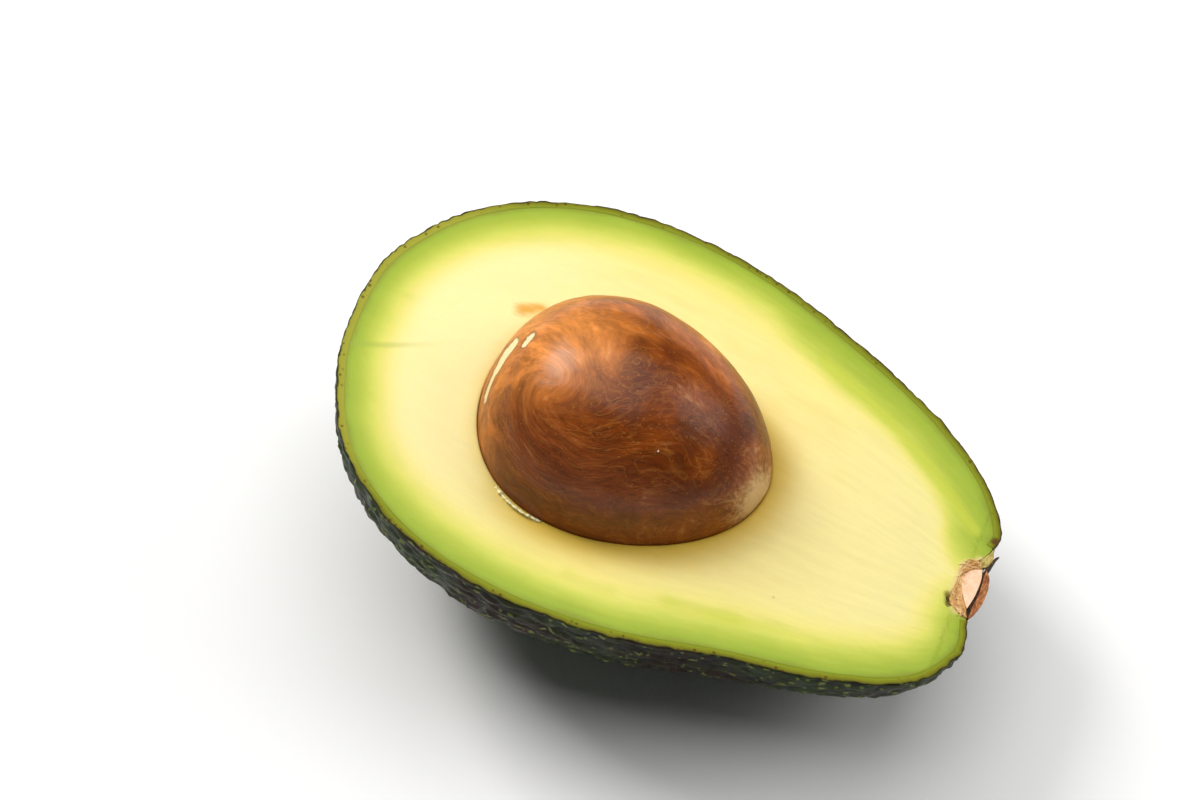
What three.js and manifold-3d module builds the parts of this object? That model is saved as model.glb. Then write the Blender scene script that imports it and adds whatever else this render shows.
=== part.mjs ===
// Half an avocado with its stone still in it, lying on the back of its peel, cut face up.
//
// All lengths are millimetres. Two frames are used:
//  - the fruit's frame, with its origin in the cut plane at the middle of the stone's hollow,
//    +X towards the stem, +Y towards the fuller side, +Z out of the cut face;
//  - the part's frame, with its origin at the middle of the spot that the peel rests on, +Z up.
// The fruit leans a little towards its stem, as a half that balances on its back does.
import * as THREE from "three";
import { mergeVertices } from "three/addons/utils/BufferGeometryUtils.js";
import Module from "manifold-3d";

const wasm = await Module();
wasm.setup();

// ---------------------------------------------------------------- driving dimensions

const GAP = 0.3; // clearance between pieces that touch
const FINEST = 0.02; // slivers left by a cut are merged away up to this height
const PEEL_THICKNESS = 1.2;
const DEPTH_RATIO = 1.0; // depth below the cut face over half the width of the cut
const REST_PITCH = THREE.MathUtils.degToRad(8.5); // how far the stem end hangs lower
const REST_DENT = 0.6; // how far the resting spot is pressed into the round back

// The outline of the cut face, as two sides that run from the blossom end to the stem.
const BLOSSOM_END = [-44.9, 2.4];
const STEM_DIMPLE = [55.9, 0.2];
const FULL_SIDE = [
  [-43.8, 13.6], [-36.2, 25.9], [-23.5, 34.5], [-7.1, 38.2], [10.6, 36.9],
  [27.8, 31.7], [42.9, 25.3], [53.2, 18.2], [58.3, 11.2], [58.3, 7.2],
];
const LEAN_SIDE = [
  [-42.7, -9.1], [-35.5, -21.7], [-22.8, -29.9], [-7.1, -33.0], [10.1, -31.9],
  [27.1, -27.5], [42.2, -24.0], [53.7, -19.0], [59.1, -11.6], [58.5, -5.7],
];

// The stone is a body of revolution, fuller towards the blossom end, with its axis in the cut.
const STONE = {
  centre: new THREE.Vector3(0.9, 0.4, 0),
  halfLength: 22.7,
  radius: 19.1,
  fullness: 0.16, // share of the radius moved from the stem end to the blossom end
  roundness: 0.03, // extra fullness of both ends
  turn: 0.028, // radians between its axis and the fruit's
};

// What is left of the stalk: a wide plug in the dimple, and a cap of bark over it.
const CORE = {
  axisY: -0.2,
  profile: [[0, 55.2], [1.5, 55.5], [2.8, 56.5], [3.45, 57.6], [3.2, 58.0], [0, 58.15]],
};
const BARK = {
  axisY: -0.9,
  profile: [[0, 58.55], [2.5, 58.5], [4.0, 58.3], [4.3, 58.6], [3.6, 59.2], [2.0, 59.7], [0, 59.85]],
};

// A pointed scale of stalk tissue that stands between the bark and the peel.
const SCALE = {
  depth: 1.6,
  outline: [
    [56.9, 4.1], [57.3, 4.8], [57.8, 5.6], [58.3, 6.7], [58.75, 6.0],
    [59.6, 6.6], [59.1, 5.0], [58.7, 3.8], [57.7, 3.75],
  ],
};

// A shred of the stone's coat that stands on the flesh beside the hollow.
const FLAKE = {
  thickness: 0.4,
  height: 1.0,
  line: [[-12.6, -17.9], [-10.9, -18.7], [-8.9, -19.3], [-6.9, -19.6], [-5.2, -19.7]],
};

// How finely the round surfaces are divided.
const RING_STEPS = 22; // round each half ring, from one edge of the cut to the other
const SHELL_STEPS = 30; // along the fruit, from the blossom end to the stem opening
const OPENING_STEPS = 3; // from the stem opening to the dimple
const STONE_STEPS = 22;
const STONE_SEGMENTS = 36;
const STALK_SEGMENTS = 28;

// ---------------------------------------------------------------- the fruit's outer form

const outlinePoints = [BLOSSOM_END, ...FULL_SIDE, STEM_DIMPLE, ...[...LEAN_SIDE].reverse()];
const outline = new THREE.CatmullRomCurve3(
  outlinePoints.map(([x, y]) => new THREE.Vector3(x, y, 0)),
  true,
  "catmullrom",
  0.5,
);
const OPENING_AT = (2 * FULL_SIDE.length) / outlinePoints.length; // where the peel stops at the stem

/** A point of the outer form: `along` runs 0..1 from blossom end to dimple, `round` 0..PI under. */
function surfacePoint(along, round) {
  const full = outline.getPoint(along / 2);
  const lean = outline.getPoint(1 - along / 2);
  const middle = full.clone().add(lean).multiplyScalar(0.5);
  const half = full.clone().sub(lean).multiplyScalar(0.5);
  const point = middle.addScaledVector(half, Math.cos(round));
  point.z = -DEPTH_RATIO * half.y * Math.sin(round);
  return point;
}

/** The outward normal of the outer form, which at the two ends is the outline's own. */
function surfaceNormal(along, round) {
  const step = 1e-4;
  if (along < step || along > 1 - step) {
    const tangent = outline.getTangent(along / 2);
    return new THREE.Vector3(-tangent.y, tangent.x, 0);
  }
  const forward = surfacePoint(along + step, round).sub(surfacePoint(along - step, round));
  const under = surfacePoint(along, round + step).sub(surfacePoint(along, round - step));
  return forward.cross(under).normalize();
}

// ---------------------------------------------------------------- from the fruit to the part

const lean = new THREE.Matrix4().makeRotationY(REST_PITCH);

/** The lowest point of the leaning fruit, found on a fine grid. */
function lowestPoint() {
  const steps = 200;
  let lowest = new THREE.Vector3(0, 0, Infinity);
  for (let i = 1; i < steps; i += 1) {
    for (let j = 1; j < steps; j += 1) {
      const point = surfacePoint(i / steps, (Math.PI * j) / steps).applyMatrix4(lean);
      if (point.z < lowest.z) lowest = point;
    }
  }
  return lowest;
}

const lowest = lowestPoint();
const fruitToPart = lean.clone().setPosition(-lowest.x, -lowest.y, -lowest.z - REST_DENT);

/** A ring of points `inset` under the outer form, pressed flat where it would go below `floor`. */
function ring(along, inset, floor) {
  const points = [];
  for (let j = 0; j <= RING_STEPS; j += 1) {
    const round = (Math.PI * j) / RING_STEPS;
    const point = surfacePoint(along, round).addScaledVector(surfaceNormal(along, round), -inset);
    if (j === 0 || j === RING_STEPS) point.z = 0;
    point.applyMatrix4(fruitToPart);
    point.z = Math.max(point.z, floor);
    points.push(point);
  }
  return points;
}

// ---------------------------------------------------------------- building closed meshes

/** Collects triangles into one geometry and leaves out those that shrink to a line at an end. */
class Facets {
  constructor() {
    this.corners = [];
  }

  triangle(a, b, c) {
    const weld = 1e-5;
    const shrunk = a.distanceTo(b) < weld || b.distanceTo(c) < weld || c.distanceTo(a) < weld;
    if (!shrunk) this.corners.push(a, b, c);
  }

  quad(a, b, c, d) {
    this.triangle(a, b, c);
    this.triangle(a, c, d);
  }

  /** The band between two rows of points; it faces the way `first` to `second` crosses the row. */
  band(first, second) {
    for (let j = 0; j + 1 < first.length; j += 1) {
      this.quad(first[j], second[j], second[j + 1], first[j + 1]);
    }
  }

  /** The flat face inside a border that runs anticlockwise, as seen from above. */
  flat(border) {
    const contour = border.map(({ x, y }) => new THREE.Vector2(x, y));
    for (const corners of THREE.ShapeUtils.triangulateShape(contour, [])) {
      this.triangle(...corners.map((i) => border[i]));
    }
  }

  geometry() {
    const made = new THREE.BufferGeometry().setFromPoints(this.corners);
    made.computeVertexNormals();
    return made;
  }
}

/** A manifold-3d solid of a closed geometry. */
function solid(geometry) {
  const bare = geometry.clone();
  bare.deleteAttribute("normal");
  bare.deleteAttribute("uv");
  const merged = mergeVertices(bare, 1e-3);
  return new wasm.Manifold(
    new wasm.Mesh({
      numProp: 3,
      vertProperties: merged.attributes.position.array,
      triVerts: new Uint32Array(merged.index.array),
    }),
  );
}

/** The three.js geometry of a manifold-3d solid. */
function geometryOf(made) {
  const mesh = made.getMesh();
  const geometry = new THREE.BufferGeometry();
  geometry.setAttribute("position", new THREE.BufferAttribute(mesh.vertProperties, 3));
  geometry.setIndex(new THREE.BufferAttribute(mesh.triVerts, 1));
  const faceted = geometry.toNonIndexed();
  faceted.computeVertexNormals();
  return faceted;
}

/** A body turned about a line along +X at height `axisY`, from [radius, x] pairs. */
function turned(profile, segments, axisY = 0) {
  const points = profile.map(([radius, x]) => new THREE.Vector2(radius, x));
  return new THREE.LatheGeometry(points, segments).rotateZ(-Math.PI / 2).translate(0, axisY, 0);
}

/** The half of a solid that lies under the cut plane. */
function underCut(made) {
  const size = 40;
  const above = new THREE.BoxGeometry(size, size, size).translate(CORE.profile[0][1], 0, size / 2);
  return made.subtract(solid(above));
}

// ---------------------------------------------------------------- the pieces

/** The peel: a bowl of even thickness, open at the cut face and round the stem. */
function peelGeometry() {
  const facets = new Facets();
  const outer = [];
  const inner = [];
  for (let i = 0; i <= SHELL_STEPS; i += 1) {
    const along = (OPENING_AT * i) / SHELL_STEPS;
    outer.push(ring(along, 0, 0));
    inner.push(ring(along, PEEL_THICKNESS, PEEL_THICKNESS));
  }
  for (let i = 0; i < SHELL_STEPS; i += 1) {
    facets.band(outer[i], outer[i + 1]);
    facets.band(inner[i + 1], inner[i]);
    facets.quad(inner[i][0], inner[i + 1][0], outer[i + 1][0], outer[i][0]);
    const last = RING_STEPS;
    facets.quad(outer[i][last], outer[i + 1][last], inner[i + 1][last], inner[i][last]);
  }
  facets.band(outer[SHELL_STEPS], inner[SHELL_STEPS]);
  return facets.geometry();
}

/** The flesh before anything is hollowed out of it. */
function wholeFleshGeometry() {
  const facets = new Facets();
  const inset = PEEL_THICKNESS + GAP;
  const rings = [];
  for (let i = 0; i < SHELL_STEPS; i += 1) rings.push(ring((OPENING_AT * i) / SHELL_STEPS, inset, inset));
  for (let i = 0; i <= OPENING_STEPS; i += 1) {
    const share = i / OPENING_STEPS;
    const along = THREE.MathUtils.lerp(OPENING_AT, 1, share);
    rings.push(ring(along, THREE.MathUtils.lerp(inset, GAP, share), inset));
  }
  for (let i = 0; i + 1 < rings.length; i += 1) facets.band(rings[i], rings[i + 1]);
  const leanBorder = rings.map((points) => points[RING_STEPS]);
  const fullBorder = rings.slice(1, -1).map((points) => points[0]);
  facets.flat([...leanBorder, ...fullBorder.reverse()]);
  return facets.geometry();
}

/** The stone, or with `grow` above zero the hollow that it leaves, in the fruit's frame. */
function stoneGeometry(grow = 0) {
  const profile = [];
  for (let i = 0; i <= STONE_STEPS; i += 1) {
    const angle = (Math.PI * i) / STONE_STEPS;
    const x = -Math.cos(angle);
    const swell = 1 - STONE.fullness * x + STONE.roundness * x * x;
    const radius = i === 0 || i === STONE_STEPS ? 0 : (STONE.radius + grow) * Math.sin(angle) * swell;
    profile.push([radius, (STONE.halfLength + grow) * x]);
  }
  const { x, y, z } = STONE.centre;
  return turned(profile, STONE_SEGMENTS).rotateZ(STONE.turn).translate(x, y, z);
}

/** The flesh, with the stone's hollow and the stalk's socket. */
function fleshGeometry() {
  const last = CORE.profile.length - 1;
  const socketProfile = CORE.profile.map(([radius, x], i) => {
    const onAxis = i === 0 || i === last;
    const facesFlesh = 2 * i < last;
    return [onAxis ? 0 : radius + GAP, facesFlesh ? x - GAP : x + GAP];
  });
  const hollow = stoneGeometry(GAP).applyMatrix4(fruitToPart);
  const socket = turned(socketProfile, STALK_SEGMENTS, CORE.axisY).applyMatrix4(fruitToPart);
  const hollowed = solid(wholeFleshGeometry()).subtract(solid(hollow)).subtract(solid(socket));
  return geometryOf(hollowed.simplify(FINEST));
}

/** A piece of the stalk, cut through with the fruit. */
function stalkGeometry({ profile, axisY }) {
  return geometryOf(underCut(solid(turned(profile, STALK_SEGMENTS, axisY))));
}

/** The scale, a flat plate cut through with the fruit. */
function scaleGeometry() {
  const shape = new THREE.Shape(SCALE.outline.map(([x, y]) => new THREE.Vector2(x, y)));
  const plate = new THREE.ExtrudeGeometry(shape, { depth: SCALE.depth, bevelEnabled: false });
  return plate.translate(0, 0, -SCALE.depth);
}

/** The shred of coat: a thin curved strip that stands on the cut face. */
function flakeGeometry() {
  const line = new THREE.SplineCurve(FLAKE.line.map(([x, y]) => new THREE.Vector2(x, y)));
  const steps = 2 * FLAKE.line.length;
  const sides = [[], []];
  for (let i = 0; i <= steps; i += 1) {
    const tangent = line.getTangent(i / steps);
    const taper = Math.sin(Math.PI * THREE.MathUtils.clamp(i / steps, 0.12, 0.88));
    const across = new THREE.Vector2(-tangent.y, tangent.x).multiplyScalar((FLAKE.thickness / 2) * taper);
    sides[0].push(line.getPoint(i / steps).sub(across));
    sides[1].unshift(line.getPoint(i / steps).add(across));
  }
  const strip = new THREE.ExtrudeGeometry(new THREE.Shape(sides.flat()), {
    depth: FLAKE.height,
    bevelEnabled: false,
  });
  return strip.translate(0, 0, GAP);
}

// ---------------------------------------------------------------- the assembled half

/** A named mesh with a material of its own. */
function piece(name, geometry, color, roughness) {
  const mesh = new THREE.Mesh(geometry, new THREE.MeshStandardMaterial({ color, roughness, metalness: 0 }));
  mesh.name = name;
  return mesh;
}

const avocado = new THREE.Group();
avocado.add(piece("peel", peelGeometry(), 0x22281a, 0.4));
avocado.add(piece("flesh", fleshGeometry(), 0xf3e585, 0.45));

// The pieces that the resting spot doesn't touch stay in the fruit's frame, and lean with it.
const leaning = new THREE.Group();
leaning.applyMatrix4(fruitToPart);
leaning.add(piece("stone", stoneGeometry(), 0x7d4220, 0.4));
leaning.add(piece("stone_coat_flake", flakeGeometry(), 0xe4dba0, 0.7));
leaning.add(piece("stalk_core", stalkGeometry(CORE), 0xf2cfae, 0.7));
leaning.add(piece("stalk_bark", stalkGeometry(BARK), 0x85502f, 0.75));
leaning.add(piece("stalk_scale", scaleGeometry(), 0x9c9347, 0.6));
avocado.add(leaning);

export default avocado;
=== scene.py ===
"""Half an avocado with its stone still in it, lying on its back: the visible pieces and their finishes.

Every piece is worked out in the fruit's own frame, in millimetres: the origin is in the cut plane at the
middle of the stone's hollow, +X runs towards the stem, +Y towards the fuller side and +Z out of the cut
face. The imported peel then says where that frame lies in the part's frame, which is in metres.
"""

import itertools
import logging
import math
from dataclasses import dataclass, field
from enum import Enum

import bmesh
import bpy
import numpy as np
from mathutils import Matrix, Vector
from mathutils.bvhtree import BVHTree


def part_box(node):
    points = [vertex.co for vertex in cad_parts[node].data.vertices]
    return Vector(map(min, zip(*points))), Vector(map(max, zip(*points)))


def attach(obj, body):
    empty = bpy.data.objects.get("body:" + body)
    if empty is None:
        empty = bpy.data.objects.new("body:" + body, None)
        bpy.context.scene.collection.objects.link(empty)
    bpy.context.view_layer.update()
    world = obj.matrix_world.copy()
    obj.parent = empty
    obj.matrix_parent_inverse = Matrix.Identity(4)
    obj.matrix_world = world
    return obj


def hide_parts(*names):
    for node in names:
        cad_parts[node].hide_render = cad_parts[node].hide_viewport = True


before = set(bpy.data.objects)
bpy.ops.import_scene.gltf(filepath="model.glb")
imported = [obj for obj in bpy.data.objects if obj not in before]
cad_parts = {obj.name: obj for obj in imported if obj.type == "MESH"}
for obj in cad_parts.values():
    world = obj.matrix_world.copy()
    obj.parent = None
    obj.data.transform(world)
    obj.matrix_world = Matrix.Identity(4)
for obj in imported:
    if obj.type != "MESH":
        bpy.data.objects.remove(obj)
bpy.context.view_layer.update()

LOG = logging.getLogger("avocado")

MM = 0.001
BODY = "root"
FULL_TURN = 2.0 * math.pi

Socket = bpy.types.NodeSocket
Value = float | tuple[float, ...] | Socket
FlatPath = tuple[tuple[float, float], ...]
SolidPath = tuple[tuple[float, float, float], ...]


# ------------------------------------------------------------------ small mathematics


def eased(low: float, high: float, value: np.ndarray) -> np.ndarray:
    """Rises smoothly from 0 at `low` to 1 at `high`."""
    share = np.clip((value - low) / (high - low), 0.0, 1.0)
    return share * share * (3.0 - 2.0 * share)


def unit(vectors: np.ndarray) -> np.ndarray:
    """The vectors at length 1."""
    return vectors / np.maximum(np.linalg.norm(vectors, axis=-1, keepdims=True), 1e-12)


def closed_spline(knots: np.ndarray, at: np.ndarray) -> np.ndarray:
    """Points of the closed Catmull-Rom curve through some knots.

    Args:
        knots: The knots, one row each.
        at: Where on the curve, from 0 to 1 round it, the first knot being at 0.

    Returns:
        One point for each value of `at`.
    """
    count = len(knots)
    position = np.mod(at, 1.0) * count
    start = np.floor(position).astype(int)
    f = (position - start)[..., None]
    a, b, c, d = (knots[(start + k) % count] for k in (-1, 0, 1, 2))
    return 0.5 * (2 * b + (c - a) * f + (2 * a - 5 * b + 4 * c - d) * f**2 + (3 * b - a - 3 * c + d) * f**3)


def open_spline(knots: np.ndarray, count: int) -> np.ndarray:
    """`count` points along the open Catmull-Rom curve through some knots, the ends included."""
    knots = np.asarray(knots, float)
    padded = np.vstack([2 * knots[0] - knots[1], knots, 2 * knots[-1] - knots[-2]])
    position = np.linspace(0, len(knots) - 1 - 1e-9, count)
    start = np.floor(position).astype(int)
    f = (position - start)[:, None]
    a, b, c, d = (padded[start + k] for k in range(4))
    return 0.5 * (2 * b + (c - a) * f + (2 * a - 5 * b + 4 * c - d) * f**2 + (3 * b - a - 3 * c + d) * f**3)


def distance_to_path(points: np.ndarray, path: np.ndarray) -> np.ndarray:
    """How far each point is from a path of straight stretches.

    Args:
        points: The points, with their coordinates in the last axis.
        path: The path's corners, with as many coordinates as the points.

    Returns:
        The distance of each point.
    """
    nearest = np.full(points.shape[:-1], np.inf)
    for start, end in zip(path[:-1], path[1:]):
        along = end - start
        share = np.clip(((points - start) @ along) / (along @ along), 0.0, 1.0)
        gap = np.linalg.norm(points - start - share[..., None] * along, axis=-1)
        nearest = np.minimum(nearest, gap)
    return nearest


class SolidNoise:
    """Repeatable noise through space, for relief that is real geometry."""

    def __init__(self, seed: int) -> None:
        """Draws the lattice of slopes and cell places.

        Args:
            seed: The number that sets every draw.
        """
        draw = np.random.default_rng(seed)
        self.order = draw.permutation(256)
        self.slopes = unit(draw.normal(size=(256, 3)))
        self.places = draw.uniform(size=(256, 3))

    def _key(self, cell: np.ndarray) -> np.ndarray:
        """A number from 0 to 255 for each lattice cell."""
        order = self.order
        first = order[cell[..., 0] & 255]
        return order[(order[(first + cell[..., 1]) & 255] + cell[..., 2]) & 255]

    def smooth(self, points: np.ndarray) -> np.ndarray:
        """Smooth noise from about -1 to 1, with features about one unit across."""
        base = np.floor(points).astype(int)
        f = points - base
        ease = f * f * f * (f * (f * 6 - 15) + 10)
        total = np.zeros(points.shape[:-1])
        for corner in itertools.product((0, 1), repeat=3):
            corner = np.array(corner)
            lean = ((f - corner) * self.slopes[self._key(base + corner)]).sum(-1)
            total += np.prod(np.where(corner, ease, 1 - ease), axis=-1) * lean
        return total * 1.6

    def layered(self, points: np.ndarray, layers: int = 4, keep: float = 0.5) -> np.ndarray:
        """Smooth noise with finer and weaker layers added.

        Args:
            points: Where to read it.
            layers: How many layers, each twice as fine as the last.
            keep: Each layer's strength over that of the one before.

        Returns:
            The noise, from about -1 to 1.
        """
        total, weight = 0.0, 0.0
        for layer in range(layers):
            total = total + keep**layer * self.smooth(points * 2.0**layer + 17.3 * layer)
            weight += keep**layer
        return total / weight

    def cells(self, points: np.ndarray) -> tuple[np.ndarray, np.ndarray, np.ndarray]:
        """Distances to scattered cell centres, one in each unit cube.

        Args:
            points: Where to read them.

        Returns:
            The distance to the nearest centre and to the next one, and the nearest centre's own number,
            from 0 to 1.
        """
        base = np.floor(points).astype(int)
        near = np.full(points.shape[:-1], np.inf)
        after = near.copy()
        number = np.zeros(points.shape[:-1])
        for step in itertools.product((-1, 0, 1), repeat=3):
            cell = base + np.array(step)
            key = self._key(cell)
            gap = np.linalg.norm(cell + self.places[key] - points, axis=-1)
            closer = gap < near
            after = np.where(closer, near, np.minimum(after, gap))
            number = np.where(closer, key / 255.0, number)
            near = np.minimum(near, gap)
        return near, after, number


# ------------------------------------------------------------------ forms of the fruit


@dataclass(frozen=True)
class Lean:
    """Where the fruit's frame lies in the part's frame: turned about Y, then moved."""

    pitch: float
    offset: np.ndarray

    def to_part(self, points: np.ndarray) -> np.ndarray:
        """Turns points of the fruit's frame into points of the part's frame, both in millimetres."""
        x, y, z = points[..., 0], points[..., 1], points[..., 2]
        level, fall = math.cos(self.pitch), math.sin(self.pitch)
        turned = np.stack([x * level + z * fall, y, z * level - x * fall], axis=-1)
        return turned + self.offset


@dataclass(frozen=True)
class OuterForm:
    """The avocado's outer form, without the relief of its peel."""

    blossom_end: tuple[float, float] = (-44.9, 2.4)
    stem_dimple: tuple[float, float] = (55.9, 0.2)
    full_side: FlatPath = (
        (-43.8, 13.6),
        (-36.2, 25.9),
        (-23.5, 34.5),
        (-7.1, 38.2),
        (10.6, 36.9),
        (27.8, 31.7),
        (42.9, 25.3),
        (53.2, 18.2),
        (58.3, 11.2),
        (58.3, 7.2),
    )
    lean_side: FlatPath = (
        (-42.7, -9.1),
        (-35.5, -21.7),
        (-22.8, -29.9),
        (-7.1, -33.0),
        (10.1, -31.9),
        (27.1, -27.5),
        (42.2, -24.0),
        (53.7, -19.0),
        (59.1, -11.6),
        (58.5, -5.7),
    )
    depth_ratio: float = 1.0
    pitch: float = math.radians(8.5)

    def outline(self, at: np.ndarray) -> np.ndarray:
        """Points of the cut face's outline; `at` runs 0 to 1 from the blossom end by the full side."""
        knots = [self.blossom_end, *self.full_side, self.stem_dimple, *reversed(self.lean_side)]
        return closed_spline(np.array(knots), at)

    def surface(self, along: np.ndarray, around: np.ndarray) -> np.ndarray:
        """Points of the whole fruit's surface.

        Args:
            along: From 0 at the blossom end to 1 in the stem's dimple.
            around: The angle round the fruit, 0 on the full side and growing downwards.

        Returns:
            The points, in millimetres.
        """
        full, lean = self.outline(along / 2), self.outline(1 - along / 2)
        middle, half = (full + lean) / 2, (full - lean) / 2
        flat = middle + half * np.cos(around)[..., None]
        depth = -self.depth_ratio * half[..., 1] * np.sin(around)
        return np.concatenate([flat, depth[..., None]], axis=-1)

    def grid(self, rows: int = 360, columns: int = 320) -> np.ndarray:
        """A fine grid of the whole fruit's surface, with columns that close on themselves."""
        along = np.linspace(0, 1, rows)[:, None] * np.ones(columns)
        around = np.linspace(0, FULL_TURN, columns, endpoint=False)[None, :] * np.ones((rows, 1))
        return self.surface(along, around)

    def lean_from(self, low: Vector, high: Vector) -> Lean:
        """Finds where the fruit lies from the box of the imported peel.

        Args:
            low: The box's lowest corner, in metres.
            high: The box's highest corner, in metres.

        Returns:
            The fruit's place in the part's frame.
        """
        half = self.grid()
        half = half[half[..., 2] <= 1e-6]
        turned = Lean(self.pitch, np.zeros(3)).to_part(half)
        own_low, own_high = turned.min(axis=0), turned.max(axis=0)
        offset = (low.x / MM - own_low[0], low.y / MM - own_low[1], high.z / MM - own_high[2])
        return Lean(self.pitch, np.array(offset))


@dataclass(frozen=True)
class StoneForm:
    """The stone's smooth form: a body of revolution, fuller towards the blossom end."""

    centre: tuple[float, float, float] = (0.9, 0.4, 0.0)
    half_length: float = 22.7
    radius: float = 19.1
    fullness: float = 0.16
    roundness: float = 0.03
    turn: float = 0.028

    def surface(self, angle: np.ndarray, around: np.ndarray, grow: float = 0.0) -> np.ndarray:
        """Points of the stone, or of a larger form round it.

        Args:
            angle: From 0 at its blossom end to pi at its tip.
            around: The angle round its axis, 0 on the full side and growing downwards.
            grow: How much larger the form is all round, in millimetres.

        Returns:
            The points, in millimetres.
        """
        x = -np.cos(angle)
        swell = 1 - self.fullness * x + self.roundness * x * x
        radius = (self.radius + grow) * np.sin(angle) * swell
        length = (self.half_length + grow) * x
        side, depth = radius * np.cos(around), -radius * np.sin(around)
        cos, sin = math.cos(self.turn), math.sin(self.turn)
        point = np.stack([length * cos - side * sin, length * sin + side * cos, depth], axis=-1)
        return point + np.array(self.centre)

    def grid(self, grow: float = 0.0, rows: int = 180, columns: int = 240) -> np.ndarray:
        """A grid of the stone's surface, with columns that close on themselves."""
        angle = np.linspace(0, math.pi, rows)[:, None] * np.ones(columns)
        around = np.linspace(0, FULL_TURN, columns, endpoint=False)[None, :] * np.ones((rows, 1))
        return self.surface(angle, around, grow)


class Probe:
    """Finds where rays from the stone's centre meet a closed surface."""

    def __init__(self, grid: np.ndarray, centre: tuple[float, float, float]) -> None:
        """Builds the search tree.

        Args:
            grid: Points of the surface, rows from one end to the other, columns round it.
            centre: Where the rays start.
        """
        rows, columns = grid.shape[:2]
        index = np.arange(rows * columns).reshape(rows, columns)
        beside = np.roll(index, -1, axis=1)
        quads = np.stack([index[:-1], index[1:], beside[1:], beside[:-1]], axis=-1).reshape(-1, 4)
        self.centre = Vector(centre)
        self.tree = BVHTree.FromPolygons(grid.reshape(-1, 3).tolist(), quads.tolist())

    def cast(self, directions: np.ndarray) -> tuple[np.ndarray, np.ndarray]:
        """Where rays meet the surface.

        Args:
            directions: The rays' directions.

        Returns:
            The points and the outward normals there.
        """
        points = np.empty(directions.shape)
        normals = np.empty(directions.shape)
        flat_points, flat_normals = points.reshape(-1, 3), normals.reshape(-1, 3)
        for i, direction in enumerate(directions.reshape(-1, 3)):
            ray = Vector(direction)
            hit, normal, _, _ = self.tree.ray_cast(self.centre, ray)
            flat_points[i] = hit
            flat_normals[i] = normal if normal.dot(ray) > 0 else -normal
        return points, normals


def rays(bearing: np.ndarray, dip: np.ndarray) -> np.ndarray:
    """Directions from the stone's centre.

    Args:
        bearing: The angle in the cut plane, from +X towards +Y.
        dip: The angle below the cut plane.

    Returns:
        Unit vectors.
    """
    return np.stack([np.cos(bearing) * np.cos(dip), np.sin(bearing) * np.cos(dip), -np.sin(dip)], axis=-1)


# ------------------------------------------------------------------ meshes


@dataclass
class Shell:
    """One closed skin, with its points in the fruit's frame and named values at each of them."""

    points: np.ndarray
    faces: list[tuple[int, ...]]
    grown: np.ndarray
    values: dict[str, np.ndarray] = field(default_factory=dict)
    floor: np.ndarray | None = None


def sweep(
    rows: np.ndarray,
    values: dict[str, np.ndarray] | None = None,
    grown: np.ndarray | None = None,
    floor: np.ndarray | None = None,
    fans: tuple[bool, bool] = (True, True),
) -> Shell:
    """Joins rows of points into a closed skin, each row being a ring.

    Args:
        rows: The points, by row and place in the row.
        values: Named values for each point.
        grown: The points before any relief, which patterns are read at.
        floor: The lowest height in the part's frame that each point may have.
        fans: Whether the first and the last row close on their middle point. A row that doesn't has
            shrunk to a line, and is welded later.

    Returns:
        The skin.
    """
    count, around = rows.shape[:2]
    index = np.arange(count * around).reshape(count, around)
    beside = np.roll(index, -1, axis=1)
    quads = np.stack([index[:-1], index[1:], beside[1:], beside[:-1]], axis=-1).reshape(-1, 4)
    faces = [tuple(q) for q in quads.tolist()]
    grown = rows if grown is None else grown
    ends = []
    for used, row, flip in ((fans[0], 0, False), (fans[1], count - 1, True)):
        if not used:
            continue
        pole = count * around + len(ends)
        ends.append(row)
        for a, b in zip(index[row].tolist(), beside[row].tolist()):
            faces.append((pole, b, a) if flip else (pole, a, b))

    def with_poles(grid: np.ndarray) -> np.ndarray:
        """A grid as one list, with each end row's mean added for its pole."""
        flat = grid.reshape(count * around, *grid.shape[2:])
        return np.concatenate([flat, *[grid[row].mean(axis=0)[None] for row in ends]], axis=0)

    named = {name: with_poles(grid) for name, grid in (values or {}).items()}
    lowest = None if floor is None else with_poles(floor)
    return Shell(with_poles(rows), faces, with_poles(grown), named, lowest)


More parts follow.
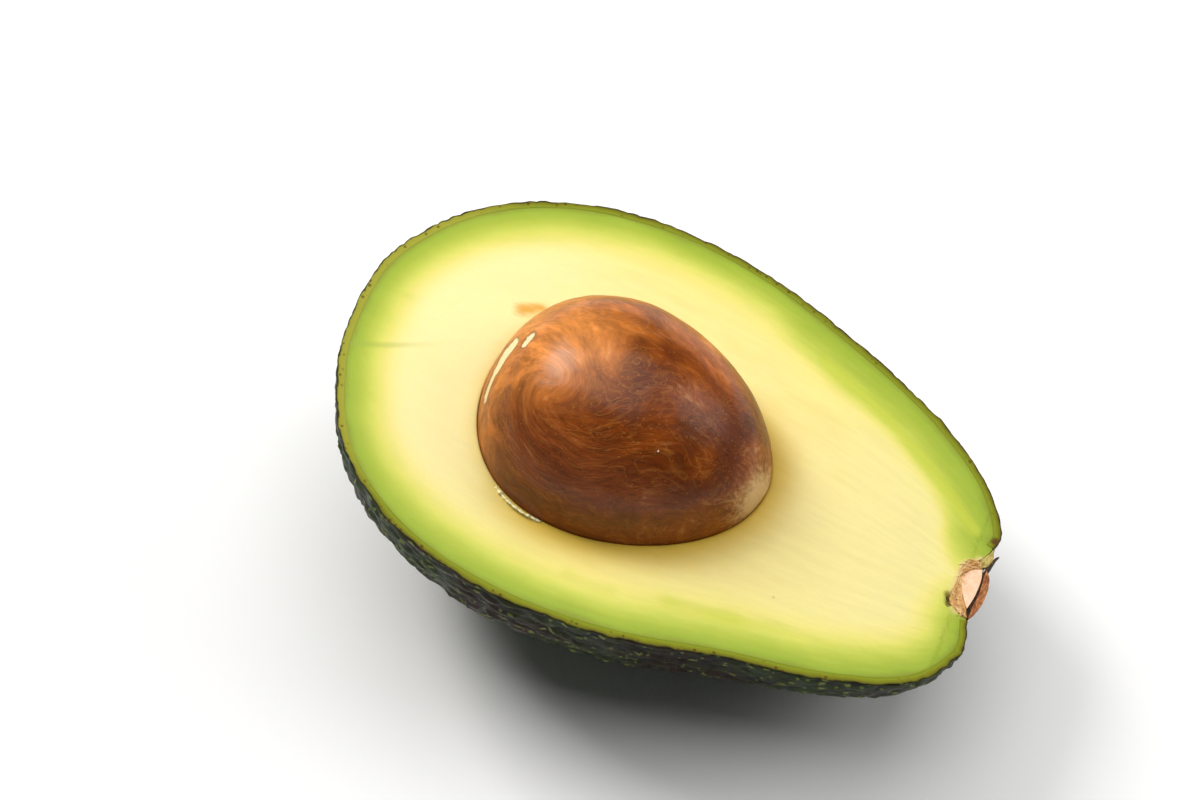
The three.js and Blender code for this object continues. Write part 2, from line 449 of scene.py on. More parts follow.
def made_mesh(name: str, shells: list[Shell], lean: Lean, weld: bool = False) -> bpy.types.Object:
    """Makes one Blender object out of closed skins.

    Args:
        name: The piece's name.
        shells: Its skins, all with the same named values.
        lean: Where the fruit lies in the part's frame.
        weld: Whether points that fell together are joined.

    Returns:
        The object, in metres in the part's frame.
    """
    starts = np.cumsum([0] + [len(s.points) for s in shells[:-1]])
    points = lean.to_part(np.concatenate([s.points for s in shells]))
    if shells[0].floor is not None:
        points[:, 2] = np.maximum(points[:, 2], np.concatenate([s.floor for s in shells]))
    faces = [tuple(i + start for i in face) for s, start in zip(shells, starts.tolist()) for face in s.faces]
    mesh = bpy.data.meshes.new(name)
    mesh.from_pydata((points * MM).tolist(), [], faces)
    grown = np.concatenate([s.grown for s in shells]).astype(np.float32)
    mesh.attributes.new("grown", "FLOAT_VECTOR", "POINT").data.foreach_set("vector", grown.ravel())
    for key in shells[0].values:
        flat = np.concatenate([s.values[key] for s in shells]).astype(np.float32)
        mesh.attributes.new(key, "FLOAT", "POINT").data.foreach_set("value", flat)
    bm = bmesh.new()
    bm.from_mesh(mesh)
    if weld:
        bmesh.ops.remove_doubles(bm, verts=bm.verts, dist=2e-6)
        bmesh.ops.dissolve_degenerate(bm, dist=1e-7, edges=bm.edges)
    bmesh.ops.recalc_face_normals(bm, faces=bm.faces)
    bm.to_mesh(mesh)
    bm.free()
    mesh.polygons.foreach_set("use_smooth", [True] * len(mesh.polygons))
    made = bpy.data.objects.new(name, mesh)
    bpy.context.scene.collection.objects.link(made)
    return made


def cut_body(
    outer: np.ndarray,
    inner: np.ndarray,
    hinge: tuple[float, float],
    depth: float,
    cap_rows: int = 4,
    under_rows: int = 12,
) -> np.ndarray:
    """Rings of a body with a flat face in the cut plane, between two sides that share their ends.

    Args:
        outer: One side of the flat face, from its first tip to its second.
        inner: The other side, between the same tips, with as many points.
        hinge: The place in the cut plane that the body shrinks towards as it goes down.
        depth: How far it goes down.
        cap_rows: How many rings the flat face has.
        under_rows: How many rings it has below.

    Returns:
        The rings, the first of them shrunk to the middle line of the flat face.
    """
    loop = np.vstack([outer, inner[-2:0:-1]])
    middle = (outer + inner) / 2
    spine = np.vstack([middle, middle[-2:0:-1]])
    rings = []
    for share in (*np.linspace(0, 0.95, cap_rows), 1.0):
        ring = spine + (loop - spine) * share
        rings.append(np.column_stack([ring, np.zeros(len(ring))]))
    for turn in np.linspace(0, math.pi / 2, under_rows + 1)[1:-1]:
        ring = hinge + (loop - hinge) * math.cos(turn) ** 0.8
        rings.append(np.column_stack([ring, np.full(len(ring), -depth * math.sin(turn))]))
    return np.array(rings)


def strand(path: np.ndarray, radius: float, sides: int = 7, tip: float = 0.25) -> np.ndarray:
    """Rings of a thin round strand along a path, thinner towards its far end.

    Args:
        path: The middle of the strand, in order.
        radius: Its radius at the start.
        sides: How many points each ring has.
        tip: The radius at the far end over that at the start.

    Returns:
        The rings.
    """
    ahead = unit(np.gradient(path, axis=0))
    side = unit(np.cross(ahead, np.array([0.13, 0.21, 0.97])))
    over = np.cross(ahead, side)
    turn = np.linspace(0, FULL_TURN, sides, endpoint=False)
    share = np.linspace(0, 1, len(path))
    size = radius * (1 + (tip - 1) * share) * np.sqrt(np.clip(1.05 - (2 * share - 1) ** 8, 0.05, 1))
    ring = side[:, None] * np.cos(turn)[None, :, None] + over[:, None] * np.sin(turn)[None, :, None]
    return path[:, None] + ring * size[:, None, None]


# ------------------------------------------------------------------ shader building


def paint(code: str) -> tuple[float, float, float, float]:
    """The scene-linear colour of a written colour such as "#c08040"."""
    parts = [int(code[i : i + 2], 16) / 255 for i in (1, 3, 5)]
    linear = [c / 12.92 if c <= 0.04045 else ((c + 0.055) / 1.055) ** 2.4 for c in parts]
    return (*linear, 1.0)


class Mode(Enum):
    """How one colour goes over another."""

    MIX = "MIX"
    MULTIPLY = "MULTIPLY"


class Graph:
    """Adds nodes to one node tree, and links what is given to them."""

    def __init__(self, tree: bpy.types.NodeTree) -> None:
        """Keeps the tree that nodes are added to."""
        self.tree = tree

    def feed(self, socket: Socket, value: Value) -> None:
        """Sets an input, or links it when the value is another node's output."""
        if isinstance(value, bpy.types.NodeSocket):
            self.tree.links.new(value, socket)
        else:
            socket.default_value = value

    def add(
        self, kind: str, inputs: dict[str | int, Value] | None = None, **settings: object
    ) -> bpy.types.Node:
        """Adds a node.

        Args:
            kind: The node's type, without "ShaderNode".
            inputs: Values or outputs for its inputs, by name or place.
            settings: The node's own settings.

        Returns:
            The node.
        """
        node = self.tree.nodes.new("ShaderNode" + kind)
        for name, setting in settings.items():
            setattr(node, name, setting)
        for key, value in (inputs or {}).items():
            self.feed(node.inputs[key], value)
        return node

    def maths(self, operation: str, *inputs: Value, clamp: bool = False) -> Socket:
        """The result of one Math node."""
        numbered = dict(enumerate(inputs))
        return self.add("Math", numbered, operation=operation, use_clamp=clamp).outputs[0]

    def vector(self, operation: str, *inputs: Value) -> Socket:
        """The vector result of one Vector Math node."""
        return self.add("VectorMath", dict(enumerate(inputs)), operation=operation).outputs["Vector"]

    def blend(self, share: Value, under: Value, over: Value, mode: Mode = Mode.MIX) -> Socket:
        """One colour laid over another.

        Args:
            share: How much of the upper colour shows, from 0 to 1.
            under: The lower colour.
            over: The upper colour.
            mode: How they combine.

        Returns:
            The combined colour.
        """
        settings = {"data_type": "RGBA", "blend_type": mode.value, "clamp_factor": True}
        return self.add("Mix", {0: share, 6: under, 7: over}, **settings).outputs[2]

    def remap(
        self, value: Value, low: float, high: float, to_low: float = 0.0, to_high: float = 1.0
    ) -> Socket:
        """Turns one range into another with a smooth rise, held at both ends."""
        inputs = {"Value": value, "From Min": low, "From Max": high, "To Min": to_low, "To Max": to_high}
        return self.add("MapRange", inputs, interpolation_type="SMOOTHSTEP").outputs["Result"]

    def shades(self, value: Value, stops: tuple[tuple[float, str], ...]) -> Socket:
        """A colour that runs through named stops.

        Args:
            value: Where on the run to read, in the stops' own units.
            stops: Each stop's place and colour, the places growing from 0.

        Returns:
            The colour.
        """
        reach = stops[-1][0]
        ramp = self.add("ValToRGB", {0: self.maths("DIVIDE", value, reach)})
        elements = ramp.color_ramp.elements
        elements[0].position, elements[0].color = stops[0][0] / reach, paint(stops[0][1])
        elements[1].position, elements[1].color = 1.0, paint(stops[-1][1])
        for place, code in stops[1:-1]:
            elements.new(place / reach).color = paint(code)
        return ramp.outputs["Color"]

    def value_at(self, name: str) -> Socket:
        """A named value of the mesh."""
        return self.add("Attribute", attribute_name=name).outputs["Fac"]

    def grown(self) -> Socket:
        """Where a point is in the fruit's frame, in millimetres, before any relief."""
        return self.add("Attribute", attribute_name="grown").outputs["Vector"]

    def toned(self, tone: Socket, colour: Socket) -> Socket:
        """A colour made lighter or darker by a factor."""
        grey = self.add("CombineColor", {0: tone, 1: tone, 2: tone}).outputs[0]
        return self.blend(1.0, colour, grey, Mode.MULTIPLY)

    def apart(self, place: Socket, spot: tuple[float, float, float]) -> Socket:
        """How far a place is from a spot."""
        return self.add("VectorMath", {0: place, 1: spot}, operation="DISTANCE").outputs["Value"]

    def group(self, tree: bpy.types.NodeTree, **inputs: Value) -> Socket:
        """Places a shader group.

        Args:
            tree: The group.
            inputs: Its inputs by name, a space in the name being written as an underscore.

        Returns:
            The group's first output.
        """
        node = self.add("Group", node_tree=tree)
        for name, value in inputs.items():
            self.feed(node.inputs[name.replace("_", " ")], value)
        return node.outputs[0]


class Effects:
    """The shader groups that several finishes share, each built once."""

    def __init__(self) -> None:
        """Builds the groups."""
        self.mottle = self._mottle()
        self.specks = self._specks()
        self.fibres = self._fibres()
        self.grain = self._grain()

    @staticmethod
    def _start(name: str, inputs: dict[str, str], output: str) -> tuple[Graph, dict[str, Socket], Socket]:
        """Starts a group.

        Args:
            name: The group's name.
            inputs: Its inputs' kinds by name.
            output: Its output's name.

        Returns:
            Its graph, its inputs inside the group, and the socket that takes its result.
        """
        tree = bpy.data.node_groups.new(name, "ShaderNodeTree")
        for label, kind in inputs.items():
            tree.interface.new_socket(name=label, in_out="INPUT", socket_type="NodeSocket" + kind)
        tree.interface.new_socket(name=output, in_out="OUTPUT", socket_type="NodeSocketFloat")
        entry, leave = tree.nodes.new("NodeGroupInput"), tree.nodes.new("NodeGroupOutput")
        return Graph(tree), {label: entry.outputs[label] for label in inputs}, leave.inputs[output]

    @staticmethod
    def _stretched(graph: Graph, place: Socket, stretch: Socket) -> Socket:
        """A place with its run along the fruit shortened, so that what is read there comes out longer."""
        parts = graph.add("SeparateXYZ", {0: place}).outputs
        along = graph.maths("DIVIDE", parts["X"], stretch)
        return graph.add("CombineXYZ", {0: along, 1: parts["Y"], 2: parts["Z"]}).outputs[0]

    def _mottle(self) -> bpy.types.NodeTree:
        """Soft variation from -1 to 1, longer along the fruit than across it."""
        kinds = {"Place": "Vector", "Scale": "Float", "Stretch": "Float", "Detail": "Float"}
        graph, given, result = self._start("mottle", kinds, "Variation")
        place = self._stretched(graph, given["Place"], given["Stretch"])
        cloud = graph.add(
            "TexNoise", {"Vector": place, "Scale": given["Scale"], "Detail": given["Detail"], "Roughness": 0.55}
        )
        wide = graph.maths("MULTIPLY_ADD", cloud.outputs["Fac"], 4.0, -2.0)
        graph.feed(result, graph.maths("MINIMUM", graph.maths("MAXIMUM", wide, -1.0), 1.0))
        return graph.tree

    def _specks(self) -> bpy.types.NodeTree:
        """Scattered small dots: 1 inside a dot and 0 outside."""
        kinds = {"Place": "Vector", "Scale": "Float", "Size": "Float", "Share": "Float"}
        graph, given, result = self._start("specks", kinds, "Mask")
        scaled = {"Vector": given["Place"], "Scale": given["Scale"], "Randomness": 1.0}
        cell = graph.add("TexVoronoi", scaled)
        ragged = graph.add("TexNoise", {"Vector": given["Place"], "Scale": 3.0, "Detail": 2.0})
        edge = graph.maths("MULTIPLY", given["Size"], graph.maths("ADD", ragged.outputs["Fac"], 0.5))
        gap = graph.maths("DIVIDE", cell.outputs["Distance"], edge)
        dot = graph.remap(gap, 1.15, 0.7)
        number = graph.add("SeparateColor", {0: cell.outputs["Color"]}).outputs[0]
        kept = graph.maths("LESS_THAN", number, given["Share"])
        graph.feed(result, graph.maths("MULTIPLY", dot, kept))
        return graph.tree

    def _fibres(self) -> bpy.types.NodeTree:
        """Fine meandering lines, like the grain lines of a warped field: 1 on a line and 0 between."""
        kinds = {"Place": "Vector", "Scale": "Float", "Stretch": "Float", "Bands": "Float", "Width": "Float"}
        graph, given, result = self._start("fibres", kinds, "Mask")
        place = self._stretched(graph, given["Place"], given["Stretch"])
        noise = {"Vector": place, "Scale": given["Scale"], "Detail": 2.5, "Distortion": 0.8}
        heights = graph.add("TexNoise", noise)
        banded = graph.maths("FRACT", graph.maths("MULTIPLY", heights.outputs["Fac"], given["Bands"]))
        from_middle = graph.maths("ABSOLUTE", graph.maths("SUBTRACT", banded, 0.5))
        off_line = graph.maths("MULTIPLY", from_middle, 2.0)
        line = graph.maths("SUBTRACT", 1.0, graph.maths("DIVIDE", off_line, given["Width"]), clamp=True)
        fade = graph.add("TexNoise", {"Vector": place, "Scale": given["Scale"], "Detail": 1.0})
        faded = graph.remap(fade.outputs["Fac"], 0.35, 0.62)
        graph.feed(result, graph.maths("MULTIPLY", line, faded))
        return graph.tree

    def _grain(self) -> bpy.types.NodeTree:
        """Fine unevenness as a height in millimetres."""
        kinds = {"Place": "Vector", "Scale": "Float", "Stretch": "Float", "Depth": "Float"}
        graph, given, result = self._start("grain", kinds, "Height")
        place = self._stretched(graph, given["Place"], given["Stretch"])
        noise = {"Vector": place, "Scale": given["Scale"], "Detail": 4.0, "Roughness": 0.6}
        cloud = graph.add("TexNoise", noise)
        graph.feed(result, graph.maths("MULTIPLY", cloud.outputs["Fac"], given["Depth"]))
        return graph.tree


@dataclass(frozen=True)
class Gloss:
    """The surface numbers that are the same all over one finish."""

    coat: float = 0.0
    coat_roughness: float = 0.2
    ior: float = 1.45
    specular: float = 0.5
    scatter: float = 0.0
    scatter_radius: tuple[float, float, float] = (1.0, 0.8, 0.3)
    scatter_mm: float = 1.5

    def shader(self, graph: Graph, colour: Socket, roughness: Socket, height: Socket) -> None:
        """Adds the surface shader to a material.

        Args:
            graph: The material's graph.
            colour: The base colour.
            roughness: The roughness.
            height: The relief, in millimetres.
        """
        bump = graph.add("Bump", {"Strength": 1.0, "Distance": MM, "Height": height})
        inputs = {
            "Base Color": colour,
            "Roughness": roughness,
            "Normal": bump.outputs["Normal"],
            "IOR": self.ior,
            "Specular IOR Level": self.specular,
            "Coat Weight": self.coat,
            "Coat Roughness": self.coat_roughness,
            "Subsurface Weight": self.scatter,
            "Subsurface Radius": self.scatter_radius,
            "Subsurface Scale": self.scatter_mm * MM,
        }
        surface = graph.add("BsdfPrincipled", inputs)
        output = graph.add("OutputMaterial")
        graph.tree.links.new(surface.outputs["BSDF"], output.inputs["Surface"])


def new_material(name: str) -> tuple[bpy.types.Material, Graph]:
    """A material with an empty node tree, and the graph that fills it."""
    material = bpy.data.materials.new(name)
    material.use_nodes = True
    material.node_tree.nodes.clear()
    return material, Graph(material.node_tree)


# ------------------------------------------------------------------ finishes


@dataclass(frozen=True)
class FleshFinish:
    """Moist flesh: green against the peel, cream-yellow within, stained here and there, with the stone's shadow
    and contact shade painted in beside the hollow.
    """

    bands: tuple[tuple[float, str], ...] = (
        (0.0, "#8d9a25"),
        (0.8, "#9ab12c"),
        (1.8, "#a7b835"),
        (2.8, "#b7c342"),
        (3.8, "#c9cf53"),
        (4.8, "#dcd866"),
        (6.8, "#ebdf7d"),
        (8.8, "#f0e28b"),
        (12.0, "#f3e292"),
        (24.0, "#f3e095"),
    )
    seam: str = "#c4cb3c"
    ochre: str = "#dcc04c"
    # Dusky yellow of the stone's painted shadow on the flesh.
    shade: str = "#d2ac28"
    pale: str = "#f9eeb4"
    cream: str = "#e9e09c"
    strand: str = "#9aae40"
    stain: str = "#d99c20"
    pith: str = "#e2cd8c"
    # Near-black painted shade inside the stalk's hole.
    hole_shade: str = "#2e200e"
    dot: str = "#8b7434"
    gloss: Gloss = Gloss(
        coat=0.06,
        coat_roughness=0.28,
        specular=0.3,
        scatter=0.25,
        scatter_radius=(1.0, 0.75, 0.2),
        scatter_mm=1.2,
    )

    def material(self, effects: Effects) -> bpy.types.Material:
        """Builds the material.

        Args:
            effects: The shared shader groups.

        Returns:
            The material.
        """
        material, graph = new_material("flesh")
        place, rind = graph.grown(), graph.value_at("rind")
        lanes = graph.add("Attribute", attribute_name="lanes").outputs["Vector"]
        cloud = graph.group(effects.mottle, Place=place, Scale=0.16, Stretch=1.8, Detail=3.0)
        streak = graph.group(effects.mottle, Place=lanes, Scale=0.85, Stretch=9.0, Detail=4.0)
        shifted = graph.maths("MULTIPLY_ADD", cloud, 0.45, rind)
        along = graph.add("SeparateXYZ", {0: place}).outputs["X"]
        streak = graph.maths("MULTIPLY", streak, graph.remap(along, -34.0, 8.0, 0.15, 1.0))
        shifted = graph.maths("MULTIPLY_ADD", streak, 0.1, shifted)
        colour = graph.shades(graph.maths("MAXIMUM", shifted, 0.0), self.bands)

        wide = graph.group(effects.mottle, Place=lanes, Scale=0.11, Stretch=2.6, Detail=3.0)
        seam_band = graph.maths(
            "MULTIPLY", graph.remap(shifted, 3.2, 5.0), graph.remap(shifted, 8.6, 5.6)
        )
        seam = graph.maths("MULTIPLY", seam_band, graph.remap(wide, 0.05, 0.75))
        colour = graph.blend(graph.maths("MULTIPLY", seam, 0.35), colour, paint(self.seam))
        on_seam = graph.maths("MULTIPLY_ADD", cloud, 0.35, graph.value_at("seam"))
        colour = graph.blend(graph.remap(on_seam, 1.5, 0.2, 0.0, 0.6), colour, paint(self.seam))
        warm = graph.maths("MULTIPLY", graph.remap(wide, 0.0, -0.9), graph.remap(rind, 6.0, 12.0))
        colour = graph.blend(graph.maths("MULTIPLY", warm, 0.22), colour, paint(self.ochre))
        inner = graph.remap(rind, 4.5, 10.0, 0.0, 0.6)
        to_blossom = graph.maths("MULTIPLY", graph.remap(along, 0.0, -30.0), inner)
        colour = graph.blend(to_blossom, colour, paint(self.pale))
        to_stem = graph.maths("MULTIPLY", graph.remap(along, 20.0, 48.0), inner)
        colour = graph.blend(to_stem, colour, paint(self.cream))
        # Ochre within about 3 mm of the hollow: partly the flesh's own yellower tone by the stone, partly
        # painted contact shade.
        near_stone = graph.maths("MULTIPLY_ADD", cloud, 0.8, graph.value_at("lip"))
        colour = graph.blend(graph.remap(near_stone, 3.0, 0.0, 0.0, 0.3), colour, paint(self.ochre))
        # Painted shadow of the stone: dusky yellow beside it, towards the stem and the lean side.
        in_stone_shadow = graph.maths("MULTIPLY_ADD", cloud, 0.07, graph.value_at("painted_stone_shadow"))
        colour = graph.blend(graph.remap(in_stone_shadow, 0.0, 1.0, 0.0, 0.8), colour, paint(self.shade))
        colour = graph.toned(graph.remap(streak, -0.8, 0.8, 0.975, 1.015), colour)

        line = graph.remap(graph.value_at("strand"), 0.85, 0.0)
        line = graph.maths("MULTIPLY", line, graph.remap(rind, 15.0, 2.0, 0.03, 0.5))
        colour = graph.blend(line, colour, paint(self.strand))
        frayed = graph.group(effects.mottle, Place=place, Scale=0.7, Stretch=2.2, Detail=4.0)
        ragged = graph.maths("MULTIPLY_ADD", frayed, 0.6, graph.value_at("stain"))
        colour = graph.blend(graph.remap(ragged, 1.9, 0.0, 0.0, 0.85), colour, paint(self.stain))
        dots = graph.group(effects.specks, Place=place, Scale=0.14, Size=0.035, Share=0.35)
        colour = graph.blend(graph.maths("MULTIPLY", dots, 0.22), colour, paint(self.dot))
        stalk = graph.maths("MULTIPLY_ADD", frayed, 0.3, graph.value_at("socket"))
        colour = graph.blend(graph.remap(stalk, 0.9, 0.1, 0.0, 0.8), colour, paint(self.pith))
        hollow = graph.value_at("hollow")
        colour = graph.blend(graph.remap(hollow, 0.0, 3.0, 0.0, 0.6), colour, paint(self.ochre))
        # The stalk's hole: an olive rim round it, and near-black painted shade in its pit.
        hole = graph.maths("MULTIPLY_ADD", frayed, 0.12, graph.value_at("hole"))
        colour = graph.blend(graph.remap(hole, 1.0, 0.3, 0.0, 0.55), colour, paint(self.strand))
        colour = graph.blend(graph.remap(hole, 0.34, 0.06, 0.0, 0.97), colour, paint(self.hole_shade))

        fine = graph.group(effects.grain, Place=place, Scale=1.6, Stretch=2.5, Depth=0.05)
        coarse = graph.group(effects.grain, Place=lanes, Scale=0.5, Stretch=7.0, Depth=0.07)
        roughness = graph.remap(streak, -1.0, 1.0, 0.5, 0.36)
        self.gloss.shader(graph, colour, roughness, graph.maths("ADD", fine, coarse))
        return material


@dataclass(frozen=True)
class PeelFinish:
    """Dark pebbled peel with a waxy sheen, and the layers that the knife shows in its edge."""

    deep: str = "#0b0f08"
    green: str = "#273a10"
    purple: str = "#28140e"
    ridge: str = "#443c1c"
    dot: str = "#7e8a3c"
    layers: tuple[tuple[float, str], ...] = (
        (0.0, "#1c1908"),
        (0.1, "#463e0f"),
        (0.24, "#6e6c17"),
        (0.5, "#7f811c"),
        (0.8, "#86921f"),
        (0.93, "#7a8620"),
        (1.0, "#7c8a22"),
    )
    pale: str = "#a6a43c"
    nick: str = "#54340f"
    spot: str = "#5a3c1c"
    spot_at: tuple[float, float, float] = (58.2, 8.8, 0.0)
    gloss: Gloss = Gloss(coat=0.03, coat_roughness=0.3, specular=0.09)

    def material(self, effects: Effects) -> bpy.types.Material:
        """Builds the material.

        Args:
            effects: The shared shader groups.

        Returns:
            The material.
        """
        material, graph = new_material("peel")
        place, cut = graph.grown(), graph.value_at("cut")
        height, dots = graph.value_at("height"), graph.value_at("dots")
        patch = graph.group(effects.mottle, Place=place, Scale=0.055, Stretch=1.4, Detail=4.0)
        fleck = graph.group(effects.mottle, Place=place, Scale=0.5, Stretch=2.2, Detail=3.0)
        skin = graph.blend(graph.remap(patch, -0.65, 0.25), paint(self.purple), paint(self.green))
        skin = graph.blend(graph.remap(height, 0.55, 0.15), skin, paint(self.deep))
        uneven_ridge = graph.remap(fleck, -0.2, 0.8, 0.1, 0.8)
        crest = graph.maths("MULTIPLY", graph.remap(height, 0.7, 1.05), uneven_ridge)
        skin = graph.blend(crest, skin, paint(self.ridge))
        skin = graph.blend(graph.remap(dots, 0.25, 0.75, 0.0, 0.85), skin, paint(self.dot))
        small = graph.group(effects.specks, Place=place, Scale=0.75, Size=0.24, Share=0.45)
        skin = graph.blend(graph.maths("MULTIPLY", small, 0.6), skin, paint(self.dot))

        uneven = graph.maths("MULTIPLY_ADD", fleck, 0.13, cut)
        edge = graph.shades(graph.maths("MAXIMUM", uneven, 0.0), self.layers)
        at_blossom = graph.remap(graph.add("SeparateXYZ", {0: place}).outputs["X"], -26.0, -40.0, 0.0, 0.75)
        paler = graph.maths("MULTIPLY", at_blossom, graph.remap(uneven, 0.05, 0.3))
        edge = graph.blend(paler, edge, paint(self.pale))
        nicks = graph.group(effects.specks, Place=place, Scale=1.0, Size=0.3, Share=0.5)
        nicked = graph.maths("MULTIPLY", nicks, graph.remap(uneven, 1.0, 0.3, 0.0, 0.8))
        edge = graph.blend(nicked, edge, paint(self.nick))
        from_spot = graph.maths("MULTIPLY_ADD", fleck, 0.3, graph.apart(place, self.spot_at))
        edge = graph.blend(graph.remap(from_spot, 0.95, 0.2, 0.0, 0.9), edge, paint(self.spot))
        colour = graph.blend(graph.remap(cut, -0.02, 0.06), skin, edge)

        bloom = graph.group(effects.mottle, Place=place, Scale=0.3, Stretch=1.0, Detail=4.0)
        wax = graph.remap(bloom, -1.0, 1.0, 0.3, 0.52)
        roughness = graph.maths("MAXIMUM", wax, graph.remap(cut, -0.02, 0.1, 0.0, 0.55))
        pores = graph.group(effects.grain, Place=place, Scale=3.2, Stretch=1.0, Depth=0.035)
        wrinkles = graph.group(effects.grain, Place=place, Scale=1.1, Stretch=2.4, Depth=0.12)
        self.gloss.shader(graph, colour, roughness, graph.maths("ADD", pores, wrinkles))
        return material


@dataclass(frozen=True)
class StoneFinish:
    """The stone's thin brown coat: swirling fibres over red-brown and pale cream streaks, with a painted
    highlight patch, and orange towards the lit side that is partly its own colour and partly painted light.
    """

    dark: str = "#6a2d01"
    brown: str = "#984803"
    # Orange of the far side and blossom end, partly painted light.
    orange: str = "#e6801a"
    # Paler orange of the painted highlight.
    highlight_tint: str = "#f09a4c"
    mauve: str = "#8c4826"
    vein: str = "#dc9640"
    tip: str = "#ecc88e"
    # Pale cream of the streaks, with an orange-brown margin round them.
    cream: str = "#f5e7b4"
    streak_margin: str = "#a9682c"
    swirl_at: tuple[float, float, float] = (-11.0, -6.5, 15.5)
    swirl_reach: float = 5.5
    gloss: Gloss = Gloss(coat=0.5, coat_roughness=0.3, specular=0.06)

    def material(self, effects: Effects) -> bpy.types.Material:
        """Builds the material.

        Args:
            effects: The shared shader groups.

        Returns:
            The material.
        """
        material, graph = new_material("stone")
        place = graph.grown()
        away = graph.maths("DIVIDE", graph.apart(place, self.swirl_at), -self.swirl_reach)
        spin = graph.maths("MULTIPLY", graph.maths("EXPONENT", away), 3.4)
        swirl = {"Vector": place, "Center": self.swirl_at, "Angle": spin, "Axis": (-0.5, -0.3, 0.8)}
        warp = graph.add("TexNoise", {"Vector": place, "Scale": 0.09, "Detail": 1.5}).outputs["Color"]
        pulled = graph.vector("MULTIPLY_ADD", warp, (8.0,) * 3, graph.add("VectorRotate", swirl).outputs[0])
        wide = graph.group(effects.mottle, Place=pulled, Scale=0.08, Stretch=1.2, Detail=4.0)
        flow = graph.group(effects.mottle, Place=pulled, Scale=0.3, Stretch=2.0, Detail=5.0)
        thread = graph.group(effects.mottle, Place=pulled, Scale=1.4, Stretch=3.6, Detail=4.0)
        colour = graph.blend(graph.remap(wide, -0.5, 0.6), paint(self.dark), paint(self.brown))
        rosy = graph.remap(graph.value_at("rosy"), 0.0, 1.0, 0.0, 0.7)
        colour = graph.blend(rosy, colour, paint(self.mauve))
        # Orange towards the far side and blossom end: partly the coat's own colour, partly painted light where
        # the key light falls.
        lit = graph.maths("MULTIPLY_ADD", flow, 0.2, graph.value_at("amber_and_lit_side"))
        colour = graph.blend(graph.remap(lit, 0.05, 1.0, 0.0, 0.78), colour, paint(self.orange))
        # Painted highlight: a broad paler patch on the upper blossom-side flank, where the key light's sheen
        # falls.
        painted_highlight = graph.maths("MULTIPLY_ADD", flow, 0.1, graph.value_at("painted_highlight"))
        colour = graph.blend(graph.remap(painted_highlight, 0.1, 1.0, 0.0, 0.62), colour, paint(self.highlight_tint))
        woven = graph.maths("MULTIPLY_ADD", thread, 0.8, flow)
        colour = graph.toned(graph.remap(woven, -1.3, 1.3, 0.7, 1.32), colour)

        veins = graph.group(effects.fibres, Place=pulled, Scale=0.14, Stretch=2.0, Bands=14.0, Width=0.3)
        hairs = graph.group(effects.fibres, Place=pulled, Scale=0.42, Stretch=3.0, Bands=11.0, Width=0.4)
        colour = graph.blend(graph.maths("MULTIPLY", veins, 0.16), colour, paint(self.vein))
        colour = graph.blend(graph.maths("MULTIPLY", hairs, 0.15), colour, paint(self.vein))
        dust = graph.group(effects.specks, Place=place, Scale=1.3, Size=0.18, Share=0.5)
        colour = graph.blend(graph.maths("MULTIPLY", dust, 0.22), colour, paint(self.vein))
        pale = graph.maths("MULTIPLY_ADD", woven, 0.24, graph.value_at("tip"))
        colour = graph.blend(graph.remap(pale, 0.1, 0.85, 0.0, 0.8), colour, paint(self.tip))

        # Pale cream streaks, sunk 0.1 mm, with an orange-brown margin.
        ragged = graph.group(effects.mottle, Place=place, Scale=0.9, Stretch=1.0, Detail=3.0)
        streak_gap = graph.maths("MULTIPLY_ADD", ragged, 0.28, graph.value_at("streak_gap"))
        colour = graph.blend(graph.remap(streak_gap, 0.75, 0.3, 0.0, 0.85), colour, paint(self.streak_margin))
        streak_core = graph.remap(streak_gap, 0.22, 0.0)
        colour = graph.blend(streak_core, colour, paint(self.cream))
        colour = graph.blend(graph.remap(graph.value_at("speck"), 0.27, 0.18), colour, paint("#efe2cf"))

        roughness = graph.remap(flow, -1.0, 1.0, 0.52, 0.4)
        lines = graph.maths("MULTIPLY", veins, 0.035)
        lines = graph.maths("MULTIPLY_ADD", hairs, 0.03, lines)
        lines = graph.maths("MULTIPLY_ADD", thread, 0.03, lines)
        grain = graph.group(effects.grain, Place=pulled, Scale=0.8, Stretch=2.4, Depth=0.2)
        lines = graph.maths("ADD", lines, grain)
        self.gloss.shader(graph, colour, roughness, graph.maths("MULTIPLY_ADD", streak_core, -0.12, lines))
        return material


